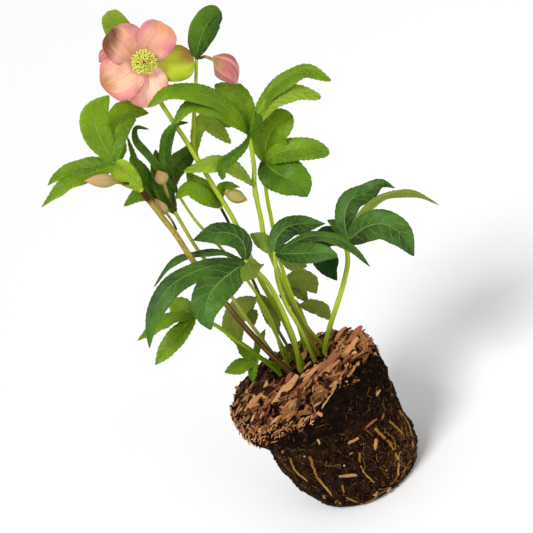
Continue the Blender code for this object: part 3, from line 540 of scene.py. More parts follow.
def blade(spine, left, right, roll=(20, 20), fold=12, peak=0.5, under=False, full=1.3, foot=1.5, teeth=True,
          deep=0.85, ruffle=0.8, columns=COLUMNS, cup=0.0, apex=0.0, point=0.45):
    """A leaf blade. Half width = widest * (t / peak)^(peak*full) * ((1-t)/(1-peak))^((1-peak)*full), plus saw
    teeth; the section is a shallow V whose edges rise by fold, ruffled, and quilted between side veins."""
    tooth_count = max(5, round(length_of(path(spine, 40)) / TOOTH_STEP))
    rows = tooth_count * TOOTH_ROWS + 1 if teeth else PLAIN_ROWS
    centre = path(spine, rows)
    along = unit(np.gradient(centre, axis=0))
    side = unit(np.cross(unit(EYE - centre), along))
    face = np.cross(along, side)
    turn = np.radians(np.linspace(roll[0], roll[1], rows))[:, None]
    lift = radians(-fold if under else fold)
    flip = -1.0 if under else 1.0
    sideways = np.cos(turn) * side + np.sin(turn) * face
    upward = np.cos(turn) * face - np.sin(turn) * side
    t = np.linspace(0, 1, rows)
    shape = (t / peak) ** (peak * full) * (np.maximum(1 - t, 0) / (1 - peak)) ** ((1 - peak) * full)
    if teeth:
        shape = shape * (1 - point * np.clip((t - 0.7) / 0.3, 0, 1) ** 1.3)
    shape = shape * (1 - apex * np.clip((t - 0.82) / 0.18, 0, 1) ** 1.2)
    least = np.linspace(foot, 0.3, rows)
    c = np.linspace(-1, 1, columns)
    halves = []
    for width, way in ((left, 1), (right, -1)):
        real = width / np.maximum(np.cos(turn[:, 0] + way * lift), 0.5)
        phase = (t * tooth_count + 0.3 * way) % 1.0
        saw = (phase ** 0.8 - 0.55) * deep * teeth * (shape > 0.25)
        halves.append(np.maximum(real * shape + saw, least))
    half = np.where(c[None] > 0, halves[0][:, None], halves[1][:, None])
    start = rng.uniform(0, 6.28)
    waves = rng.uniform(2.2, 3.4)
    rise = half * abs(sin(lift)) * (np.sqrt(c ** 2 + 0.02) - 0.14)[None]
    rise = rise - half * 0.1 * np.abs(c[None]) ** 4 + cup * half * c[None] ** 2
    rise = rise + ruffle * shape[:, None] * np.abs(c[None]) ** 2.5 * np.sin(
        2 * pi * waves * t[:, None] + start + 1.4 * np.sign(c)[None])
    quilt = np.sin(2 * pi * (t[:, None] * SIDE_VEINS - np.abs(c[None]) * 1.5)) * 0.26
    rise = rise + quilt * np.sin(pi * np.abs(c))[None] * teeth
    middle = centre[:, None] + (half * c[None] * cos(lift))[..., None] * sideways[:, None]
    middle = middle + (rise * flip)[..., None] * upward[:, None]
    thick = BLADE_THICK * (1 - 0.7 * np.abs(c) ** 4) * 0.5
    rib = np.exp(-(c / 0.09) ** 2)[None] * np.linspace(0.8, 0.15, rows)[:, None]
    normal = upward[:, None] * flip
    top = middle + (thick[None] - rib * 0.25)[..., None] * normal
    low = middle - (thick[None] + rib)[..., None] * normal
    u = (c + 1) / 2
    marks = np.repeat((0.0, 1.0), columns)
    if under:
        return np.concatenate([top, low[:, ::-1]], axis=1), marks, np.concatenate([u, u[::-1]])
    return np.concatenate([top[:, ::-1], low], axis=1), marks, np.concatenate([u[::-1], u])


def knob(centre, radius):
    """A small ball: rings of radius * sin along a short axis of cosines."""
    turn = np.linspace(0.15, pi - 0.15, 9)
    line = centre + np.outer(-np.cos(turn), (0, 0, 1)) * radius
    return hoop(line, radius * np.sin(turn), 12)


print("blades have", COLUMNS, "points across and a tooth every", TOOTH_STEP, "mm")

# %% [markdown]
# The stems rise from the soil in a loose bundle. Each path starts upright in its hole and bends through
# points read from the picture. A stem is never a plain pipe: it tapers, has shallow grooves, and swells a
# little at its foot and at each joint.

# %% Stems and stalks
# Each stem: its slot, its radius at foot and top, where it leaves the soil, then the points of its path.
STEMS = {
    "flower_stem": ("stalk_green", 2.2, 1.7, (3, 8), (5, 30, -9), (6, 50, -9), (4, 90, -9), (6, 120, -9),
        (7, 145, -8), (5, 172, -6), (3, 200, -4), (1, 225, -3), (-1, 240, -3), (-3, 262, -5), (-3, 284, -11),
        (0, 296, -6.5)),
    "left_bract_stem": ("brown_stem", 2.6, 2.2, (-9, 6), (-14, 22, -2), (-20, 40, 0), (-27, 65, 3),
        (-32, 90, 5), (-37, 115, 6), (-40, 135, 8), (-42, 155, 11), (-46, 175, 15), (-51, 201, 19)),
    "tan_bud_stem": ("stalk_green", 1.6, 1.5, (-11, 12), (-15, 30, -20), (-18, 48, -19), (-21, 65, -17),
        (-24, 88, -14), (-28, 115, -11), (-32, 140, -8), (-34, 171, -6)),
    "thin_green_stem": ("stalk_green", 1.3, 1.1, (-8, 9), (-7, 30, -9), (-3, 50, -8), (-4, 80, -9),
        (-11, 118, -10), (-20, 150, -10), (-23, 165, -10), (-25, 185, -10)),
    "green_bud_stem": ("brown_stem", 1.4, 1.2, (0, 13), (-1, 30, -19), (-2, 45, -19), (-3, 60, -20),
        (-2, 85, -20), (0, 115, -20), (2, 140, -18), (2, 158, -16)),
    "right_shoot_stem": ("stalk_green", 2.4, 1.8, (19, 10), (18, 22, -13), (18, 45, -12), (19, 70, -12),
        (21, 95, -12), (23, 118, -12), (28, 135, -12), (35, 160, -11), (43, 177, -11), (51, 202, -11)),
    "right_shoot_branch": ("stalk_green", 1.8, 1.6, (25, 14), (22, 30, -24), (20, 50, -24), (25, 90, -24),
        (31, 115, -24), (36, 132, -23), (42, 152, -22), (52, 176, -19)),
    "right_leaf_stalk": ("stalk_green", 2.3, 2.0, (25, 8), (31, 19, -10), (40, 29, -8), (50, 39, -6),
        (60, 49, -5), (69, 59, -4), (77, 70, -2), (83, 86, 0)),
    "centre_leaf_stalk": ("stalk_green", 2.0, 1.9, (14, 6), (15, 25, -2), (15, 45, 0), (14, 60, 1),
        (17, 82, 4), (25, 103, 8)),
    "left_leaf_stalk": ("stalk_green", 2.5, 2.1, (0, 5), (6, 28, 0), (8, 45, 2), (9, 62, 4), (8, 85, 7),
        (0, 108, 12)),
    "low_left_leaf_stalk": ("stalk_green", 2.5, 2.0, (-17, 9), (-23, 25, -11), (-30, 40, -9), (-38, 55, -6),
        (-47, 72, -1), (-60, 88, 5)),
    "small_left_leaf_stalk": ("stalk_green", 1.4, 1.2, (-15, 14), (-19, 22, -24), (-24, 28, -25),
        (-30, 31, -26)),
    "back_left_leaf_stalk": ("stalk_green", 1.5, 1.3, (-4, 17), (-5, 35, -33), (-5, 55, -36), (-6, 75, -41)),
    "back_right_leaf_stalk": ("stalk_green", 1.5, 1.3, (11, 16), (14, 35, -33), (18, 55, -37), (22, 76, -41)),
    "low_right_leaf_stalk": ("stalk_green", 1.4, 1.2, (18, 16), (21, 34, -32), (23, 52, -35)),
}
FORK = ((3, 205, -4), (8, 220, -4), (20, 242, -5), (31, 261, -6), (41, 279, -6))
JOINTS = {"right_shoot_stem": (0.76,), "flower_stem": (0.42, 0.7), "left_bract_stem": (0.55,)}
SLIMMER = {"left_leaf_stalk": 0.85, "low_left_leaf_stalk": 0.78, "centre_leaf_stalk": 0.9}
STEM_PAINTS = {"low_left_leaf_stalk": "green_stalk", "small_left_leaf_stalk": "green_stalk",
               "right_shoot_stem": "shoot_stem", "green_bud_stem": "dark_stem",
               "right_shoot_branch": "bright_stalk", "tan_bud_stem": "tan_stalk"}
HOLE_DEPTH = 9.0
STEM_RINGS = 110
FORK_RINGS = 50


def stem_line(foot, rise, count):
    """Upright from the hole's floor to 3 mm above the soil, then a smooth curve through the points."""
    ground = on_soil(*foot)
    line = through([ground + (0, 0, 3)] + [seen(*p) for p in rise], count)
    return np.vstack([ground - (0, 0, HOLE_DEPTH), ground - (0, 0, 1), line])


stem_total = 0.0
for name, (slot, start, end, foot, *rise) in STEMS.items():
    line = stem_line(foot, rise, STEM_RINGS)
    t = np.linspace(0, 1, len(line))
    radius = start + (end - start) * t + 0.35 * np.exp(-(t / 0.05) ** 2)
    for joint in JOINTS.get(name, ()):
        radius = radius + 0.5 * np.exp(-((t - joint) / 0.012) ** 2)
    radius = radius * (1 + 0.02 * np.sin(t * 37 + len(name))) * SLIMMER.get(name, 1.0)
    heap = Heap(paints[STEM_PAINTS.get(name, slot)])
    heap.add(hoop(line, radius, 18, 0.035))
    if name == "flower_stem":
        heap.add(hoop(path(FORK, FORK_RINGS), np.linspace(1.9, 1.2, FORK_RINGS), 14, 0.03), 0.6)
    heap.piece(name + "_fine", slot, name)
    stem_total += length_of(line)
print(len(STEMS), "stems,", round(stem_total), "mm in all")

# %% [markdown]
# A leaf is a fan of leaflets that spring from one hub. Each leaflet follows its midrib, and its half widths
# are those that show, so it is turned and folded without leaving its outline. The saw teeth, the ruffled edge
# and the swelling between the side veins are in the mesh, because they catch the light at this size.

# %% Leaves and bracts


def lobe(left, right, *spine, **shape):
    """A leaflet or sepal: its half widths to the left and right, its midrib's points, and what is special."""
    return dict(left=left, right=right, spine=spine, **shape)


# Each leaf: its hub, its slot and its leaflets.
LEAVES = {
    "left_leaf": ((0, 108, 12), "leaf_green", (
        lobe(9.5, 9, (1, 110, 11), (5, 122, 6), (1, 133, 2), (-12, 141, 0), (-31, 144, 2), roll=(25, 35)),
        lobe(3.4, 3.2, (-2, 110, 11), (-15, 124, 2), (-36, 133, -2.6), (-57, 134.5, -6), (-78, 124, -6),
             roll=(55, 60), peak=0.55, full=1.2),
        lobe(8.5, 8, (-3, 109, 13), (-25, 117, 18), (-45, 120, 22), (-66, 118, 26), (-87, 106, 30),
             (-98, 93, 33), (-105, 80, 34), roll=(25, 30)),
        lobe(14.5, 14, (-3, 107, 14), (-17, 105, 25), (-32, 101, 36), (-44, 93, 45), (-51, 82, 50),
             (-52, 70, 50), roll=(15, 10)),
        lobe(12, 13, (1, 106, 14), (0, 102, 22), (0, 97, 30), (1, 92, 36), roll=(0, 0), under=True,
             full=1.2))),
    "centre_leaf": ((25, 103, 8), "leaf_green", (
        lobe(8.5, 8.5, (25, 105, 7), (33, 114, 4), (46, 118, 2), (60, 113, 3), (74, 106, 6), roll=(-30, -30),
             peak=0.45),
        lobe(4.2, 4.2, (28, 103, 10), (45, 104, 16), (62, 101, 22), (76, 91, 26), (86, 75, 27), (91, 57, 25),
             roll=(-45, -45)),
        lobe(8.5, 8, (28, 101, 12), (40, 95, 26), (53, 89, 38), (64, 83, 46), (71, 77, 48), roll=(-20, -15),
             peak=0.6, full=1.15),
        lobe(9, 9, (30, 102, 4), (35, 94, -2), (38, 87, -7), (44, 81, -8), roll=(-15, -15), under=True,
             peak=0.55, foot=0.9),
        lobe(5, 8, (24, 105, 6), (20, 114, -2), (14, 127, -6), roll=(10, 10), under=True, full=1.1))),
    "right_leaf": ((83, 86, 0), "leaf_green", (
        lobe(9, 9, (85, 88, 0), (91, 104, -5), (102, 114, -9), (117, 114, -11), (131, 115, -10),
             (140, 106, -6), roll=(-30, -25), peak=0.4),
        lobe(3.4, 3.2, (86, 87, 3), (101, 98, 7), (125, 104, 10), (142, 100, 12), (155, 92, 12),
             (166, 77, 10), roll=(-50, -50)),
        lobe(12, 12, (86, 85, 4), (103, 88, 20), (118, 83, 31), (127, 68, 37), (128, 48, 38), roll=(-20, -15),
             peak=0.52),
        lobe(5, 5, (83, 88, -3), (83, 99, -12), (77, 108, -17)),
        lobe(11.5, 12, (80, 88, -4), (71, 94, -16), (62, 86, -26), (59, 72, -30), (61, 59, -31),
             roll=(30, 20)))),
    "low_left_leaf": ((-60, 88, 5), "bract_green", (
        lobe(5, 5.5, (-62, 89, 5), (-76, 94, 4), (-92, 94, 4), (-111, 90, 6), roll=(45, 45)),
        lobe(9, 9, (-61, 90, 3), (-66, 98, -5), (-73, 108, -11), roll=(10, 10)),
        lobe(7.5, 8, (-61, 86, 7), (-76, 80, 13), (-90, 74, 17), (-107, 65, 18)))),
    "small_left_leaf": ((-30, 31, -26), "bract_green", (
        lobe(6.5, 6.5, (-31, 31, -26), (-43, 32, -25), (-58, 33, -24)),
        lobe(4, 4, (-30, 30, -25), (-36, 24, -22), (-41, 15, -20), roll=(10, 10)),
        lobe(5.5, 5, (-30, 33, -27), (-34, 41, -30), (-38, 50, -32), roll=(10, 10)),
        lobe(3.5, 3.5, (-29, 33, -28), (-21, 42, -34), (-11, 50, -36)))),
    "back_left_leaf": ((-6, 75, -41), "olive_leaf", (
        lobe(10, 9.5, (-8, 76, -42), (-22, 76, -44), (-34, 66, -44), (-37, 46, -42), roll=(25, 20)),
        lobe(7, 6, (-10, 76, -43), (-16, 72, -47), (-18, 57, -49)),
        lobe(7, 7, (-4, 77, -44), (-1, 63, -48), (-3, 42, -46), roll=(0, 0), peak=0.6, foot=0.9))),
    "back_right_leaf": ((22, 76, -41), "olive_leaf", (
        lobe(9, 10, (23, 77, -42), (33, 75, -44), (40, 68, -46), (41, 57, -44), roll=(-25, -20)),
        lobe(6, 6, (25, 76, -43.5), (29, 66, -46), (31, 54, -46), roll=(-10, -10)))),
    "low_right_leaf": ((23, 52, -35), "olive_leaf", (
        lobe(6.5, 6.5, (25, 53, -35), (32, 50, -36), (39, 43, -36), (42, 31, -34), roll=(-20, -20)),
        lobe(4, 4, (22, 54, -34), (18, 62, -32), (12, 70, -31), roll=(10, 10)))),
    "left_bracts": ((-61, 232, 22), "bract_green", (
        lobe(8.5, 8.5, (-51, 200.5, 19), (-53, 209, 20), (-57, 220, 21), (-61, 232, 22), roll=(0, 0), fold=25,
             peak=0.7, foot=2.4, teeth=False, full=1.0),
        lobe(11, 11.5, (-61, 233, 21), (-62, 250, 16), (-61, 266, 13), (-54, 277, 12), (-39, 284.5, 14),
             roll=(10, 20), peak=0.55, full=1.4),
        lobe(12, 9.5, (-60, 233, 21), (-52, 249, 14), (-41, 260, 4), (-30, 265, -5), (-16, 256, -9),
             roll=(-20, -25), full=1.4),
        lobe(6, 8, (-63, 232, 22), (-80, 238, 18), (-96, 241.5, 16), (-109, 243, 16), (-119, 240.5, 18),
             roll=(30, 30), peak=0.45),
        lobe(5.5, 5.5, (-63, 230, 24), (-82, 233, 24), (-100, 235.5, 25), (-117, 232, 25), (-132, 226.5, 25),
             roll=(40, 40), peak=0.45),
        lobe(5, 5, (-59, 233, 21), (-51, 240, 14), (-45, 252, 10)))),
    "tan_bud_bracts": ((-34, 171, -6), "leaf_green", (
        lobe(3.2, 3.2, (-35, 172, -7), (-38, 186, -8), (-39, 205, -8), teeth=False),
        lobe(8, 9, (-34, 173, -8), (-32, 192, -17), (-20, 205, -18), (-6, 210, -20), (8, 217, -25),
             roll=(-20, -20), peak=0.65),
        lobe(6.5, 7, (-35, 172, -7), (-42, 195, -14), (-44, 212, -16), (-46, 231, -16), peak=0.7, full=1.2),
        lobe(3, 3, (-35, 172, -9), (-46, 205, -24), (-44, 226, -26), (-41, 247, -24), peak=0.6),
        lobe(7, 7, (-34, 172, -8), (-32, 190, -13), (-30, 208, -13), (-25, 226, -12), peak=0.6),
        lobe(6, 6, (-35, 172, -9), (-40, 187, -20), (-52, 199, -24), (-70, 196, -24), roll=(20, 30),
             peak=0.6))),
    "thin_stem_bracts": ((-25, 185, -10), "leaf_green", (
        lobe(5, 5, (-25, 188, -9), (-24, 208, -3), (-14, 228, 1), (0, 237, 4.5), (10, 234, 5),
             roll=(-30, -30), peak=0.55),
        lobe(3.2, 3.2, (-25, 187, -11), (-32, 222, -3), (-36, 240, -3), (-31, 250, -3), (-22, 244, -2),
             roll=(-20, -30), teeth=False))),
    "green_bud_bracts": ((2, 158, -16), "leaf_green", (
        lobe(8, 8, (2, 160, -15), (-1, 172, -12), (-7, 184, -12), (-10, 198, -14)),
        lobe(4, 4, (2, 161, -16), (8, 171, -15), (15, 172, -13), (24, 166, -11), roll=(-20, -20)),
        lobe(6.5, 7, (1, 161, -14), (-6, 172, -7), (-15, 184, -4), (-29, 182, -3), roll=(10, 20),
             peak=0.55))),
    "fork_leaf": ((3, 208, -8.2), "olive_leaf", (
        lobe(6.5, 6, (4, 209, -10), (11, 221, -16), (21, 229, -19), (28, 219, -19), (34, 202, -18),
             roll=(-10, -10), peak=0.62, full=1.2),
        lobe(7, 6, (4, 209, -11), (14, 224, -20), (26, 229, -24), (38, 221, -24), (48, 213, -23),
             roll=(-25, -20), peak=0.65, full=1.2))),
    "shoot_leaves": ((52, 176, -19), "bract_green", (
        lobe(15, 15, (53, 178, -19), (62, 190, -16), (74, 198, -10), (91, 199, -6), roll=(-15, -20),
             peak=0.52, full=1.15),
        lobe(9.5, 9, (54, 176, -16), (67, 177, -5), (83, 172, 3), (95, 165, 6), (104, 157, 7),
             roll=(-20, -15), peak=0.55, full=1.15),
        lobe(18, 14, (52, 174, -16), (56, 164, -4), (63, 154, 6), (69, 144, 9), (71, 133, 9), roll=(-10, -5),
             peak=0.45, full=1.4))),
    "shoot_top_leaves": ((51, 202, -11), "bract_green", (
        lobe(6.5, 7.5, (51, 204, -10), (47, 222, -2), (38, 242, 6), (22, 256.5, 12), (5, 264, 14),
             (-14, 261, 14), roll=(20, 35), peak=0.6, full=1.2),
        lobe(6, 6.5, (50, 204, -9), (43, 222, 0), (34, 236, 8), (18, 246, 10), (-1, 239, 10), roll=(30, 40),
             peak=0.65),
        lobe(9.5, 9.5, (51, 205, -12), (56, 220, -12), (56, 235, -14), (44, 252, -16), roll=(-10, -10),
             peak=0.58, full=1.1),
        lobe(5.5, 6.5, (53, 203, -10), (62, 212, -5), (82, 226, 0), (105, 230, 3), (120, 228, 4),
             (133, 211, 4), roll=(-40, -40), peak=0.65, full=1.2),
        lobe(6.5, 6.5, (53, 202, -9), (63, 209, -2), (81, 216.5, 6), (102, 215, 10), (119, 202, 12),
             roll=(-20, -20), peak=0.72, full=1.1, under=True),
        lobe(5, 5, (52, 201, -8), (57, 201, -3), (62, 207, 1), (64, 217, 3)),
        lobe(5, 4.5, (50, 200, -7), (42, 194.5, 2), (30, 191.5, 7), (19, 189, 10), (14, 178, 11),
             roll=(-10, 0), peak=0.75, full=1.1))),
    "shoot_low_leaf": ((36, 163, -6.5), "bract_green", (
        lobe(6.5, 6, (35, 164, -7), (29, 179, -3), (20, 191, 0), (6, 196, 2), (-12, 199, 2), roll=(30, 35),
             peak=0.6),
        lobe(4, 3, (34, 165, -8), (31, 178, -11), (29, 192, -14), roll=(10, 10)))),
    "top_bract": ((41, 279, -6), "bract_green", (
        lobe(10.5, 10.5, (41.5, 280, -6), (49, 290, -4), (59, 299, -3), (68, 303.5, -3), (77, 303.5, -4),
             roll=(10, 10), peak=0.6, full=1.1, teeth=False),)),
    "bloom_bract": ((-4, 288.5, -11.3), "bract_green", (
        lobe(10.5, 10.5, (-4.5, 292, -15.5), (-6, 312, -19), (-7, 330, -17), (-8, 348, -14), roll=(0, 0),
             peak=0.6, full=0.8, teeth=False),)),
}
TOP_SHEATH = (-51, 201, 19)
# Finishes that differ from the slot's own, for whole leaves and for single leaflets.
LEAF_PAINTS = {"tan_bud_bracts": "deep_bract", "thin_stem_bracts": "deep_bract", "top_bract": "deep_bract",
               "green_bud_bracts": "bract_green", "shoot_low_leaf": "pale_leaf", "bloom_bract": "pale_leaf",
               "fork_leaf": "pale_leaf"}
LOBE_PAINTS = {
    "left_bracts": {0: "sheath"}, "shoot_top_leaves": {5: "deep_bract", 6: "deep_bract"},
    "right_leaf": {1: "olive_leaf", 4: "shaded_leaf"}, "shoot_low_leaf": {1: "deep_bract"},
    "tan_bud_bracts": {5: "bract_green"}, "shoot_leaves": {2: "deep_bract"}}
HUB_REACH = 20
leaflets = 0
for name, (hub, slot, lobes) in LEAVES.items():
    special = LOBE_PAINTS.get(name, {})
    others = sorted(set(special.values()))
    heap = Heap(*(paints[paint] for paint in (LEAF_PAINTS.get(name, slot), "stalk_green", *others)))
    heap.add(knob(seen(*hub), KNOB * 0.7), 0.6, finish=0 if slot == "bract_green" else 1)
    calm = {"deep": 0.5, "ruffle": 0.6} if slot == "leaf_green" or name == "left_bracts" else {}
    if name == "left_bracts":
        heap.add(knob(seen(*TOP_SHEATH), KNOB), 0.6, finish=1)
    if name == "shoot_leaves":
        calm["point"] = 0.0
    for place, one in enumerate(lobes):
        spine = one["spine"]
        if spine[0][1] > hub[1] - HUB_REACH:
            spine = (hub, *spine)
        ring, marks, around = blade(**{**calm, **one, "spine": spine})
        kind = 2 + others.index(special[place]) if place in special else 0
        heap.add(ring, 0.9 if kind else rng.uniform(0.1, 0.95), marks, kind, around)
        leaflets += 1
    heap.piece(name + "_fine", slot, name)
print(len(LEAVES), "leaves and bract groups,", leaflets, "blades")

# %% [markdown]
# What look like petals are five sepals, broad and shallow like spoons, that overlap in turn. Inside stands a
# brush of many stamens round the pale carpels, with a ring of small tubes at its foot. Each stamen is a
# thread with a two-lobed head; a few dozen faces are enough for one.

# %% Open bloom
BLOOM_UP = 296
SEPALS = (
    lobe(16.5, 15, (-1, 298, -5), (-5, 312, -1), (-9, 324, 1), (-11, 333, 1), peak=0.6, full=0.8, apex=0.1),
    lobe(12.5, 16.5, (2, 297, -5), (10, 305, 0), (19, 312, 3), (28.5, 319.5, 3), peak=0.62, full=0.75,
         apex=0.15),
    lobe(13, 14.5, (2, 295, -6), (14, 288, -5), (26, 283, -5), (39, 280.5, -6), peak=0.6, full=1.0, apex=0.2),
    lobe(17, 15, (-1, 294, -5), (-5, 283, -2), (-10, 272, 1), (-14, 260, 1), full=0.95, apex=0.2),
    lobe(19, 16.5, (-2, 296, -5), (-15, 296, 0), (-27, 295, 3), (-41, 295, 3), peak=0.55, full=0.95,
         apex=0.45),
)
heap = Heap(*sepal_paints)
heap.add(knob(seen(0, BLOOM_UP, -6.5), 3.0), 0.5, finish=2)
for k, one in enumerate(SEPALS):
    ring, marks, around = blade(**one, roll=(0, 0), fold=14, foot=3.0, teeth=False, ruffle=1.1, columns=27,
                                cup=0.04)
    heap.add(ring, 0.5, marks, k, around)
heap.piece("bloom_sepals_fine", "sepal_pink", "bloom_sepals")

STAMENS = 240
NECTARIES = 16
CARPELS = 4
GOLDEN_TURN = 2.39996


def in_bloom(reach, angle, front):
    """The point of the bloom at a reach from its middle, turned by the angle, and front of the crown."""
    return seen(reach * cos(angle), BLOOM_UP + reach * sin(angle), front)


def crown(count, start, places, radii, tone, finish):
    """A ring of tubes at even angles from start, each through its places as (reach, front)."""
    for k in range(count):
        line = [in_bloom(reach, 2 * pi * k / count + start, front) for reach, front in places]
        stamens.add(hoop(through(line, len(radii)), radii, 8), tone, finish=finish)


stamens = Heap(paints["stamen_yellow"], paints["carpel"])
stamens.add(knob(seen(0, BLOOM_UP, -1.5), 3.4), 0.4)
head_turn = np.linspace(0.2, pi - 0.2, 6)
for k in range(STAMENS):
    ring = ((k + 0.5) / STAMENS) ** 0.6
    angle = k * GOLDEN_TURN + rng.uniform(-0.2, 0.2)
    reach = 0.9 + 9.7 * ring * rng.uniform(0.86, 1.04)
    high = 8.0 - 4.5 * ring + rng.uniform(-0.8, 0.8)
    tip = in_bloom(reach, angle, high)
    mid = in_bloom(0.62 * reach, angle + 0.1, high * 0.75)
    line = through([in_bloom(2.0, angle, -1.0), mid, tip], 6)
    stamens.add(hoop(line, np.linspace(0.32, 0.26, 6), 5), rng.uniform(0, 1))
    head = tip + np.outer(np.linspace(-1.2, 1.2, 6), unit(tip - mid))
    stamens.add(hoop(head, 0.55 * np.sin(head_turn) + 0.1, 6, 0.18, 2), rng.uniform(0, 1))
crown(NECTARIES, 0.0, ((3.5, -2.5), (6.5, -1.2), (9.0, 0.6)), (0.6, 0.9, 1.2, 1.3, 1.1, 0.5), 0.3, 0)
crown(CARPELS, 0.4, ((0.7, 1.0), (0.7, 5.0), (0.5, 9.3)), (0.6, 0.7, 0.6, 0.5, 0.4, 0.35, 0.4), 0.5, 1)
stamens.piece("bloom_stamens_fine", "stamen_yellow", "bloom_stamens")
print("a bloom of", len(SEPALS), "sepals and", STAMENS, "stamens")

# %% [markdown]
# A bud is the same five sepals, still wrapped round each other. Its section is a circle whose radius climbs
# along each sepal and drops where the next one starts, so the overlapping edges show as steps, and the steps
# turn a little on the way to the tip.

# %% Buds
# Each bud: its slot, the points of its axis, its ring radii, its stalk's points and its stalk's radius.
BUDS = {
    "pink_bud": ("bud_pink", ((54, 274, -5), (59, 262, -3), (61, 243.5, -2)), (6.3, 9.2, 9.8, 8, 4.5),
                 ((41, 279, -6), (44.2, 277.5, -6), (48, 276.5, -6), (54, 270, -4)), 1.2),
    "back_bud": ("bud_pink", ((-16, 309, -24), (-25, 315, -24), (-34, 313, -22)), (4, 5.5, 5.8, 4),
                 ((-6.8, 289.5, -13.4), (-12, 300, -23), (-19, 310.5, -24)), 1.1),
    "tan_bud": ("bud_tan", ((-31, 196, -1), (-31, 203, 0), (-31, 210, 0)), (3.5, 5.5, 5.5, 3.5),
                ((-33.3, 174.5, -4), (-33, 186, -3), (-31, 199, -0.5)), 1.1),
    "green_bud": ("bud_green", ((10, 168, -9), (17, 161, -6), (25, 153, -4)), (3.8, 5.2, 5.2, 3.4),
                  ((4.2, 161.5, -13), (8, 167.5, -11), (12, 166, -8.5)), 1.1),
    "left_bud": ("bud_tan", ((-64, 216, 30), (-77, 223.5, 36), (-90, 230, 39)), (3.2, 5, 4.8, 3),
                 ((-58, 211, 24.5), (-63, 214, 28), (-70, 218.5, 33)), 1.0),
    "small_left_bud": ("bud_tan", ((-40, 172, 8.5), (-42, 180, 9), (-44, 190, 9)), (2.6, 3.6, 3.4, 2),
                       ((-39.6, 158, 9), (-39.5, 166, 8.3), (-41, 176, 8.7)), 0.9),
}
BUD_ROWS = 34
BUD_SIDES = 40
BUD_STALK_ROWS = 24


def bud(axis, radii, wraps=5, step=0.17, twist=0.5):
    """Radius along the axis from the ring radii, times 1 + step * the part of (wraps * angle + twist * t)."""
    line = path(axis, BUD_ROWS)
    t = np.linspace(0, 1, BUD_ROWS)
    known = np.linspace(0, 1, len(radii) + 2)
    base = np.interp(t, known, np.r_[0.0, radii, 0.0])
    base = np.convolve(np.pad(base, 3, "edge"), np.ones(7) / 7, "valid")
    base = base * 1.08 * np.minimum(1, (t + 0.02) * 12) ** 0.5 * np.minimum(1, (1.02 - t) * 9) ** 0.6
    saw = (wraps * np.linspace(0, 1, BUD_SIDES, endpoint=False)[None] + twist * t[:, None]) % 1.0
    fall = np.minimum(saw / 0.82, (1 - saw) / 0.18)
    out = hoop(line, np.ones(BUD_ROWS), BUD_SIDES) - line[:, None]
    return line[:, None] + out * (np.maximum(base, 0.12)[:, None] * (1 + step * (fall - 0.5)))[..., None]


for name, (slot, axis, radii, stalk, thin) in BUDS.items():
    heap = Heap(paints[slot], paints["brown_stem"])
    heap.add(bud(axis, np.array(radii) * (0.88 if name == "tan_bud" else 0.95)))
    stalk_radius = thin * (1 + 0.5 * np.linspace(0, 1, BUD_STALK_ROWS) ** 4)
    heap.add(hoop(path(stalk, BUD_STALK_ROWS), stalk_radius, 10), finish=1)
    heap.piece(name + "_fine", slot, name)
print(len(BUDS), "buds")

# %% [markdown]
# The ball keeps the shape of the pot that moulded it: a lip at the rim, a slight taper and a flat underside.
# Its skin is crumbly. The surface is one grid turned round the axis, pushed in and out by several layers of
# smooth random waves, coarse for lumps and fine for crumbs.

# %% Root ball
# Height, then left and right edge of the ball as X.
RINGS = np.array((
    (0, -42, 46), (2.5, -47, 51), (12, -52, 53.5), (25, -56.5, 54.5), (40, -60, 54.5), (58, -62.5, 54),
    (74, -65, 54.5), (80, -68.5, 55), (88, -73, 56), (96, -75.5, 57), (105, -75.5, 57), (110, -73, 55.5)))


def ring_at(height):
    """Middle X and half width of the ball at a height, read between the rings."""
    left, right = (np.interp(height, RINGS[:, 0], RINGS[:, k]) for k in (1, 2))
    return (left + right) / 2, (right - left) / 2


def bumps(angle, height):
    """Soft hollows and swellings: three waves round the ball that drift with height."""
    return (0.9 * np.sin(3 * angle + height / 9) + 0.7 * np.sin(7 * angle - height / 5 + 1)
            + 0.5 * np.sin(12 * angle + height / 3.1))


def soil_height(share):
    """Height of the soil's top at a share of the way from the middle to the rim."""
    return np.interp(share, (0, 0.45, 0.8, 1), (SOIL_TOP, SOIL_TOP, 112.0, RIM_HEIGHT))


def ball_point(angle, height, proud=0.0):
    """A point of the wall: middle + (half width + bumps + proud) along the angle."""
    middle, half = ring_at(height)
    reach = half + bumps(angle, height) * np.minimum(1.0, height / 12) + proud
    return np.stack([middle + reach * np.cos(angle), reach * np.sin(angle), height + 0 * reach], axis=-1)


def level_point(angle, share, rim, height):
    """A point of the top or underside, at a share of the way from the middle to the wall at a rim."""
    middle, half = ring_at(rim)
    reach = half * share
    return np.stack([middle + reach * np.cos(angle), reach * np.sin(angle), height + 0 * angle], axis=-1)


def lumps(points, size, seed):
    """Sum of random waves of about one size in all directions, between about -1 and 1."""
    waves = np.random.default_rng(seed)
    total = np.zeros(points.shape[:-1])
    for _ in range(14):
        way = unit(waves.normal(size=3)) * 2 * pi / (size * waves.uniform(0.7, 1.5))
        total += np.sin(points @ way + waves.uniform(0, 6.28))
    return total / 4


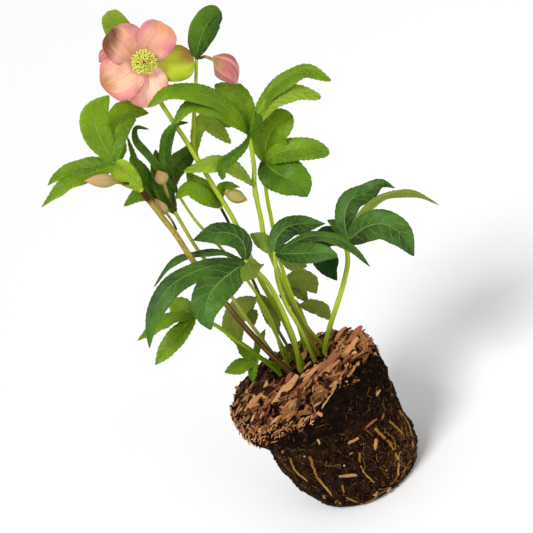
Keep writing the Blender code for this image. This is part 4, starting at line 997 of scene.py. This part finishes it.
AROUND = 320
CAP_ROWS = 60
BASE_ROWS = 10
angle = np.linspace(0, 2 * pi, AROUND, endpoint=False)[None]
side_heights = np.r_[np.linspace(0, 3, 6), np.linspace(3.8, 106, 120), np.linspace(107, RIM_HEIGHT, 5)]
wall = ball_point(angle, side_heights[:, None] + 0 * angle)
shares = np.linspace(0.98, 0.02, CAP_ROWS)[:, None]
cap = level_point(angle, shares, RIM_HEIGHT, soil_height(shares))
base = level_point(angle, np.linspace(0.02, 0.97, BASE_ROWS)[:, None], 0.0, np.zeros((BASE_ROWS, 1)))
grid = np.concatenate([base, wall, cap])
middles = ring_at(np.clip(grid[..., 2], 0, RIM_HEIGHT))[0]
outward = np.stack([grid[..., 0] - middles, grid[..., 1], 0 * middles], axis=-1)
outward = outward / np.maximum(np.linalg.norm(outward, axis=-1, keepdims=True), 1.0)
outward[-CAP_ROWS:] = (0, 0, 1)
outward[:BASE_ROWS] = 0
crumbs = lumps(grid, 9.0, 1) * 0.55 + lumps(grid, 4.0, 2) * 0.5 + np.abs(lumps(grid, 2.2, 3)) * 0.5
grid = grid + outward * (crumbs * np.clip(grid[..., 2] / 6, 0, 1))[..., None]


def soil_paint():
    """Near-black peat with brown crumbs and tan fibres; painted shade darkens the upper part, from about the
    lip up, for the shadow under the lip.
    """
    paint = Paint("packed soil")
    lump = paint.grain(130.0, 6.0, 0.7)
    fine = paint.grain(900.0, 3.0, 0.6)
    fibre = paint.grain(420.0, 5.0, 0.75, stretch=(1.0, 1.0, 0.35))
    high = paint.node("ShaderNodeSeparateXYZ", {}, {0: paint.place()}, output=2)
    colour = paint.layers((14, 6, 3), ((40, 22, 12), lump.ease(0.35, 0.7)),
                          ((84, 54, 32), (fine * 0.6 + lump * 0.4).ease(0.5, 0.66) * 0.8),
                          ((120, 84, 50), fibre.ease(0.6, 0.74) * 0.6),
                          # Painted shade: the upper part of the ball, from about the lip up, is darkened
                          # toward black.
                          ((8, 4, 2), (high + lump * 0.02).ease(0.08, 0.1) * 0.65))
    return paint.finish(colour, 0.95, lump + fine * 0.6 + fibre * 0.5, 0.0022, 0.9, shine=0.05)


heap = Heap(soil_paint())
heap.add(grid)
heap.piece("soil_ball", "soil", "root_ball")
print("the ball has", grid.shape[0] * grid.shape[1], "points")

# %% [markdown]
# Bark chips cover the top and the lip. A chip is a split flake: a ring of six uneven corners carried along
# its length, thicker in the middle and torn at the ends. The big ones lie where they show in the picture, and
# the rest are scattered. Crumbs of soil fill the gaps.

# %% Bark chips and crumbs
# Two ends as (across, up, height), then width and finish.
PLANKS = (
    ((-34, -10, 112), (-5, 4, 121), 8, 1), ((-6, -6, 113), (15, 2, 119), 4.5, 0),
    ((-14, -9, 113), (3, -4, 117), 3.5, 2), ((12, -3, 115), (37, 4, 121), 6, 2),
    ((10, -6, 114), (33, -2, 118), 4, 0), ((36, -1, 114), (55, 8, 119), 5, 0),
    ((-58, -4, 112), (-38, 3, 117), 4, 0), ((-62, -9, 109), (-44, -4, 113), 4, 1),
    ((-50, -12, 110), (-30, -4, 114), 4, 2), ((-40, -15, 110), (-18, -9, 114), 4, 0),
    ((-64, -16, 104), (-52, -8, 110), 4, 1), ((2, 12, 115), (13, 20, 119), 4, 0),
    ((44, 8, 115), (62, 16, 118), 5, 2), ((36, 14, 114), (50, 21, 117), 4, 0),
    ((-22, -2, 114), (-8, 7, 120), 4, 2),
)
# The middle as across and up, then length, width, turn and finish.
FLAKES = (
    (-60, -20, 12, 4, 60, 1), (-50, -24, 13, 4, 35, 0), (-38, -23, 12, 3.5, 20, 1), (-26, -26, 13, 3, 30, 0),
    (-14, -28, 10, 3, -20, 2), (-2, -35, 8, 3, -50, 0), (57, 2, 11, 5, 60, 0), (50, -38, 15, 3.5, 20, 1),
    (-14, -53, 7, 1.8, 100, 1), (12, -67, 10, 3, 5, 1), (5, -75, 5, 1.5, 0, 1), (28, -76, 14, 2.6, 62, 0),
    (31, -61, 14, 1.6, 15, 2), (43, -60, 7, 1.5, 30, 2), (-5, -91, 15, 2.6, -14, 1), (55, -90, 9, 4, 60, 1),
    (8, -115, 8, 3, 25, 0), (20, -117, 5, 3, 40, 1), (58, -47, 6, 2, -30, 2), (-44, -48, 6, 2, 40, 2),
)


def on_ball(across, up):
    """First point of the ball on the sight line through (across, up), by steps, with its outward way."""
    way = unit(CROWN + ACROSS * across + UPWARD * up - EYE)
    points = EYE + way * np.arange(850, 1100, 0.5)[:, None]
    middles, halves = ring_at(points[:, 2])
    out = np.hypot(points[:, 0] - middles, points[:, 1])
    inside = (points[:, 2] > 0) & (points[:, 2] < soil_height(np.minimum(out / halves, 1.0))) & (out < halves)
    first = int(np.argmax(inside))
    point = points[first]
    if point[2] > 108:
        return point, np.array((0.0, -0.3, 0.95))
    return point, unit(np.array((point[0] - middles[first], point[1], 0.0)))


def flake(centre, line_way, out, long, wide, thick):
    """Six uneven corners round a short line: width and thickness swell as sin along it, and wander."""
    over = np.cross(out, line_way)
    s = np.linspace(-0.5, 0.5, 5)
    swell = np.sqrt(np.sin(np.linspace(0.4, pi - 0.4, 5))) * rng.uniform(0.7, 1.15, 5)
    corner = np.array(((-0.5, -0.35), (0.0, -0.5), (0.5, -0.35), (0.5, 0.3), (0.05, 0.5), (-0.5, 0.35)))
    corner = corner[None] * (1 + rng.uniform(-0.25, 0.25, (5, 6, 1))) * swell[:, None, None]
    bend = rng.uniform(-0.08, 0.08) * long * (1 - 4 * s ** 2)
    drift = rng.uniform(-0.12, 0.12, 5) * wide
    ring = (centre + (s * long)[:, None] * line_way + bend[:, None] * out + drift[:, None] * over)[:, None]
    return ring + corner[..., :1] * wide * over + corner[..., 1:] * thick * out


def chip_paint(name, dark, middle, light):
    """Dark to middle to light along the split fibres, with a stain of soil."""
    paint = Paint(name)
    _, _, spot = paint.map()
    fibre = paint.streaks(spot, 30.0, 3.0, 5.0, 0.7)
    tone = paint.kept("tone")
    colour = paint.layers(dark, (middle, (fibre * 0.8 + tone * 0.5).ease(0.3, 0.8)),
                          (light, (fibre * 0.6 + tone * 0.6).ease(0.62, 0.98)),
                          ((58, 36, 22), paint.grain(300.0, 4.0, 0.7).ease(0.52, 0.68) * 0.55))
    return paint.finish(colour, 0.85, fibre + paint.grain(1400.0) * 0.4, 0.001, 0.8, shine=0.1)


DARK_BARK = 3
chips = Heap(
    chip_paint("bark, orange brown", (104, 58, 28), (172, 112, 68), (212, 150, 100)),
    chip_paint("bark, tan", (130, 86, 44), (188, 136, 84), (220, 172, 118)),
    chip_paint("bark, reddish", (88, 42, 24), (140, 80, 52), (178, 110, 74)),
    chip_paint("bark, dark", (32, 18, 10), (60, 36, 22), (92, 60, 38)),
)
feet = np.array([on_soil(*foot) for _, _, _, foot, *_ in STEMS.values()])


def chip(point, outward, long, wide, thick, spin, tones, shares=None, finish=0):
    """A flake that lies on the ball and is turned by spin, so that it climbs to the right where spin is above
    0. Its tone lies between two tones, and its finish is drawn by shares where they are given."""
    out = unit(np.asarray(outward, float) + rng.normal(size=3) * 0.2)
    start = unit(np.cross(out, (0.12, 0.2, 1.0)) if abs(out[2]) < 0.8 else np.cross(out, (0.1, 1.0, 0.0)))
    ring = flake(point, cos(spin) * start + sin(spin) * np.cross(out, start), out, long, wide, thick)
    tone = rng.uniform(*tones)
    chips.add(ring, tone, finish=int(rng.choice(len(shares), p=shares)) if shares else finish)


def top_point(turn, share, above):
    """A point above the soil's top, at a share of the way to the rim."""
    return level_point(turn, share, RIM_HEIGHT, soil_height(share) + above)


def bare(point):
    """Whether a point of the front lies below the edge of the bark, where the soil shows dark."""
    across, up = (point - CROWN) @ ACROSS, (point - CROWN) @ UPWARD
    edge = np.interp(across, (-60, -12, 8, 30, 60), (-27, -28, -17, -11, -7))
    return point[1] < 0 and up + rng.normal(0, 3) < edge


for first, last, wide, finish in PLANKS:
    ends = [on_soil(*end) for end in (first, last)]
    way = unit(ends[1] - ends[0])
    face = unit(TOWARD + (0, 0, 0.6) - way * ((TOWARD + (0, 0, 0.6)) @ way))
    long = np.linalg.norm(ends[1] - ends[0])
    chips.add(flake((ends[0] + ends[1]) / 2, way, face, long, wide, 2.4), rng.uniform(0.6, 1), finish=finish)
for across, up, long, wide, spin, finish in FLAKES:
    point, out = on_ball(across, up)
    chip(point + out * 0.7, out, long, wide, 1.8, radians(spin), (0.5, 1), finish=finish)

# %% [markdown]
# The scattered chips are drawn at random in five rounds: thin splinters on the front and left of the lip,
# chips on the top, chips that hang down the wall, single ones in the wall, and crumbs of soil all over.

# %% Scattered chips
MOSTLY = (0.36, 0.24, 0.2, 0.2)
SPLINTERS, TOP_CHIPS, WALL_CHIPS, DEEP_CHIPS, CRUMBS = 420, 640, 560, 60, 1500
for k in range(SPLINTERS):
    turn = rng.uniform(pi * 0.86, pi * 1.62)
    point = ball_point(turn, rng.uniform(88, 111), 1.4)
    if not bare(point + (0, 0, 1)):
        chip(point, (cos(turn), sin(turn), 0.4), rng.uniform(2, 7), rng.uniform(0.4, 1.1), 0.6,
             rng.normal(0.7, 0.7), (0.6, 1), (0.45, 0.4, 0.15))
for k in range(TOP_CHIPS):
    turn = rng.uniform(0, 2 * pi)
    share = 0.97 * rng.uniform(0.01, 1) ** 0.5
    point = top_point(turn, share, rng.uniform(0.0, 2.4))
    long = rng.uniform(4, 17)
    dark = point[1] > 2 and point[0] < -25 and rng.uniform() < 0.75
    from_stems = np.linalg.norm(feet[:, :2] - point[:2], axis=1).min()
    if from_stems > 3.0 + long * 0.25 and not bare(point):
        chip(point, (0, -0.25, 1), long, rng.uniform(1.2, 4.2), rng.uniform(0.6, 1.8), rng.normal(0.85, 0.5),
             (0, 1), None if dark else MOSTLY, DARK_BARK)
for k in range(WALL_CHIPS):
    turn = rng.uniform(0, 2 * pi)
    toward_left = 0.5 - 0.5 * cos(turn + 0.7)
    high = 109 - (5 + 30 * toward_left ** 1.3) * rng.uniform(0, 1) ** 1.2
    point = ball_point(turn, high, 0.5)
    if not bare(point):
        chip(point, (cos(turn), sin(turn), 0.3), rng.uniform(3, 12), rng.uniform(1.0, 3.2),
             rng.uniform(0.6, 1.6), rng.normal(0.7, 0.45), (0.1, 1), MOSTLY)
for k in range(DEEP_CHIPS):
    turn = rng.uniform(0, 2 * pi)
    chip(ball_point(turn, rng.uniform(4, 92), 0.2), (cos(turn), sin(turn), 0), rng.uniform(2, 6),
         rng.uniform(1, 2.4), rng.uniform(0.6, 1.4), rng.uniform(0, pi), (0, 1), (0.15, 0.1, 0.3, 0.45))
for k in range(CRUMBS):
    turn = rng.uniform(0, 2 * pi)
    if k % 3:
        point, out = ball_point(turn, rng.uniform(3, 108), 0.4), (cos(turn), sin(turn), 0)
    else:
        point, out = top_point(turn, rng.uniform(0, 0.97) ** 0.5, 0.6), (0, 0, 1)
    size = rng.uniform(0.8, 2.4)
    chip(point, out, size * 1.4, size, size * 0.8, rng.uniform(0, pi), (0, 0.7),
         None if k % 3 else (0.2, 0.1, 0.3, 0.4), DARK_BARK)
chips.piece("bark_chips", "soil", "root_ball", smooth=False)
print(len(chips.grids), "chips and crumbs")

# %% [markdown]
# Roots that reached the pot's wall ran down it and round its foot. They are ochre threads half sunk in the
# soil. A few thick ones follow the picture; the fine ones wander down the wall at random, short straws lie in
# the soil, and long roots circle the foot.

# %% Roots
# Each thick root: its radius, then its points as (across, up).
ROOTS = (
    (1.3, (-26, -62), (-28, -80), (-25, -95), (-21, -109)),
    (1.4, (33, -66), (38, -84), (38, -98), (32, -110)),
    (1.1, (57, -62), (59, -74), (57, -86)), (1.1, (-40, -52), (-42, -66), (-37, -80)),
    (1.0, (-13, -96), (-14, -106), (-8, -114)), (1.1, (46, -66), (50, -78), (48, -92)),
    (1.0, (12, -78), (8, -92), (12, -106)),
)
THIN_ROOTS, STRAWS, FOOT_ROOTS = 140, 700, 16

roots = Heap(stem_paint("root", (150, 102, 40), (176, 130, 62), (84, 54, 24), 0.5),
             stem_paint("fine root", (84, 54, 26), (120, 84, 40), (50, 30, 14), 0.6))


def root(line, foot, tip, tone, finish=0, sides=5, ridge=0.0):
    """A thread along the line, its radius falling evenly from foot to tip."""
    roots.add(hoop(line, np.linspace(foot, tip, len(line)), sides, ridge, 3), tone, finish=finish)


for radius, *points in ROOTS:
    line = through([point + out * 0.6 for point, out in (on_ball(*place) for place in points)], 40)
    line = line + 0.35 * np.stack([lumps(line, 6.0, 9), lumps(line, 6.0, 10), 0 * line[:, 0]], axis=-1)
    root(line, radius, radius * 0.6, 0.6, sides=8, ridge=0.08)
s = np.linspace(0, 1, 26)
for k in range(THIN_ROOTS):
    in_patch = k % 3 > 0
    turn = rng.normal(-0.75, 0.25) if in_patch else rng.uniform(0, 2 * pi)
    top = rng.uniform(18, 58) if in_patch else rng.uniform(30, 88)
    drop = rng.uniform(10, 40) if in_patch else rng.uniform(8, 46)
    sway = turn + rng.uniform(-0.22, 0.22) * s * (0.4 if in_patch else 1)
    sway = sway + 0.05 * np.sin(s * rng.uniform(4, 11) + k)
    line = ball_point(sway, np.maximum(top - drop * s, 2.0), 0.4)
    thick = rng.uniform(0.14, 0.42)
    root(line, thick, thick * 0.45, rng.uniform(0, 1), int(k % 4 > 0))
s = np.linspace(0, 1, 6)
for k in range(STRAWS):
    turn = rng.uniform(0, 2 * pi)
    slope = rng.uniform(-1, 1)
    long = rng.uniform(3, 10)
    height = np.clip(rng.uniform(4, 100) + long * slope * s, 2, 108)
    line = ball_point(turn + long * (1 - abs(slope)) * s / 60, height, 0.5)
    root(line, 0.18, 0.1, rng.uniform(0, 1), k % 2, sides=4)
s = np.linspace(0, 1, 22)
for k in range(FOOT_ROOTS):
    turn = rng.uniform(-0.9, 0.4) if k % 2 else rng.uniform(0, 2 * pi)
    sway = turn + s * rng.uniform(0.2, 0.6)
    line = ball_point(sway, 4 + 2.0 * np.sin(s * 5 + k) + rng.uniform(0, 8), 0.5)
    root(line, 0.6, 0.3, rng.uniform(0, 1))
roots.piece("surface_roots", "soil", "root_ball")
print(len(roots.grids), "roots and straws")

# %% [markdown]
# White grit is mixed into the soil. A few grains show on the wall.

# %% Grit
GRAINS_SEEN = ((-12, -39), (30, -21), (38, -72), (-30, -60), (-4, -82))
GRAINS_BEHIND = 10
grit_paint = Paint("white grit")
grit_colour = grit_paint.layers((200, 192, 176), ((160, 146, 124), grit_paint.grain(700.0)))
grit = Heap(grit_paint.finish(grit_colour, 0.8, grit_paint.grain(1500.0), 0.0005, 0.6))
for place in GRAINS_SEEN:
    point, out = on_ball(*place)
    grit.add(knob(point + out * 0.5, 0.8))
for k in range(GRAINS_BEHIND):
    turn = rng.uniform(0, pi)
    grit.add(knob(ball_point(turn, rng.uniform(6, 90), 0.5), rng.uniform(0.4, 0.8)))
grit.piece("grit", "soil", "root_ball")
print(len(grit.grids), "grains of grit")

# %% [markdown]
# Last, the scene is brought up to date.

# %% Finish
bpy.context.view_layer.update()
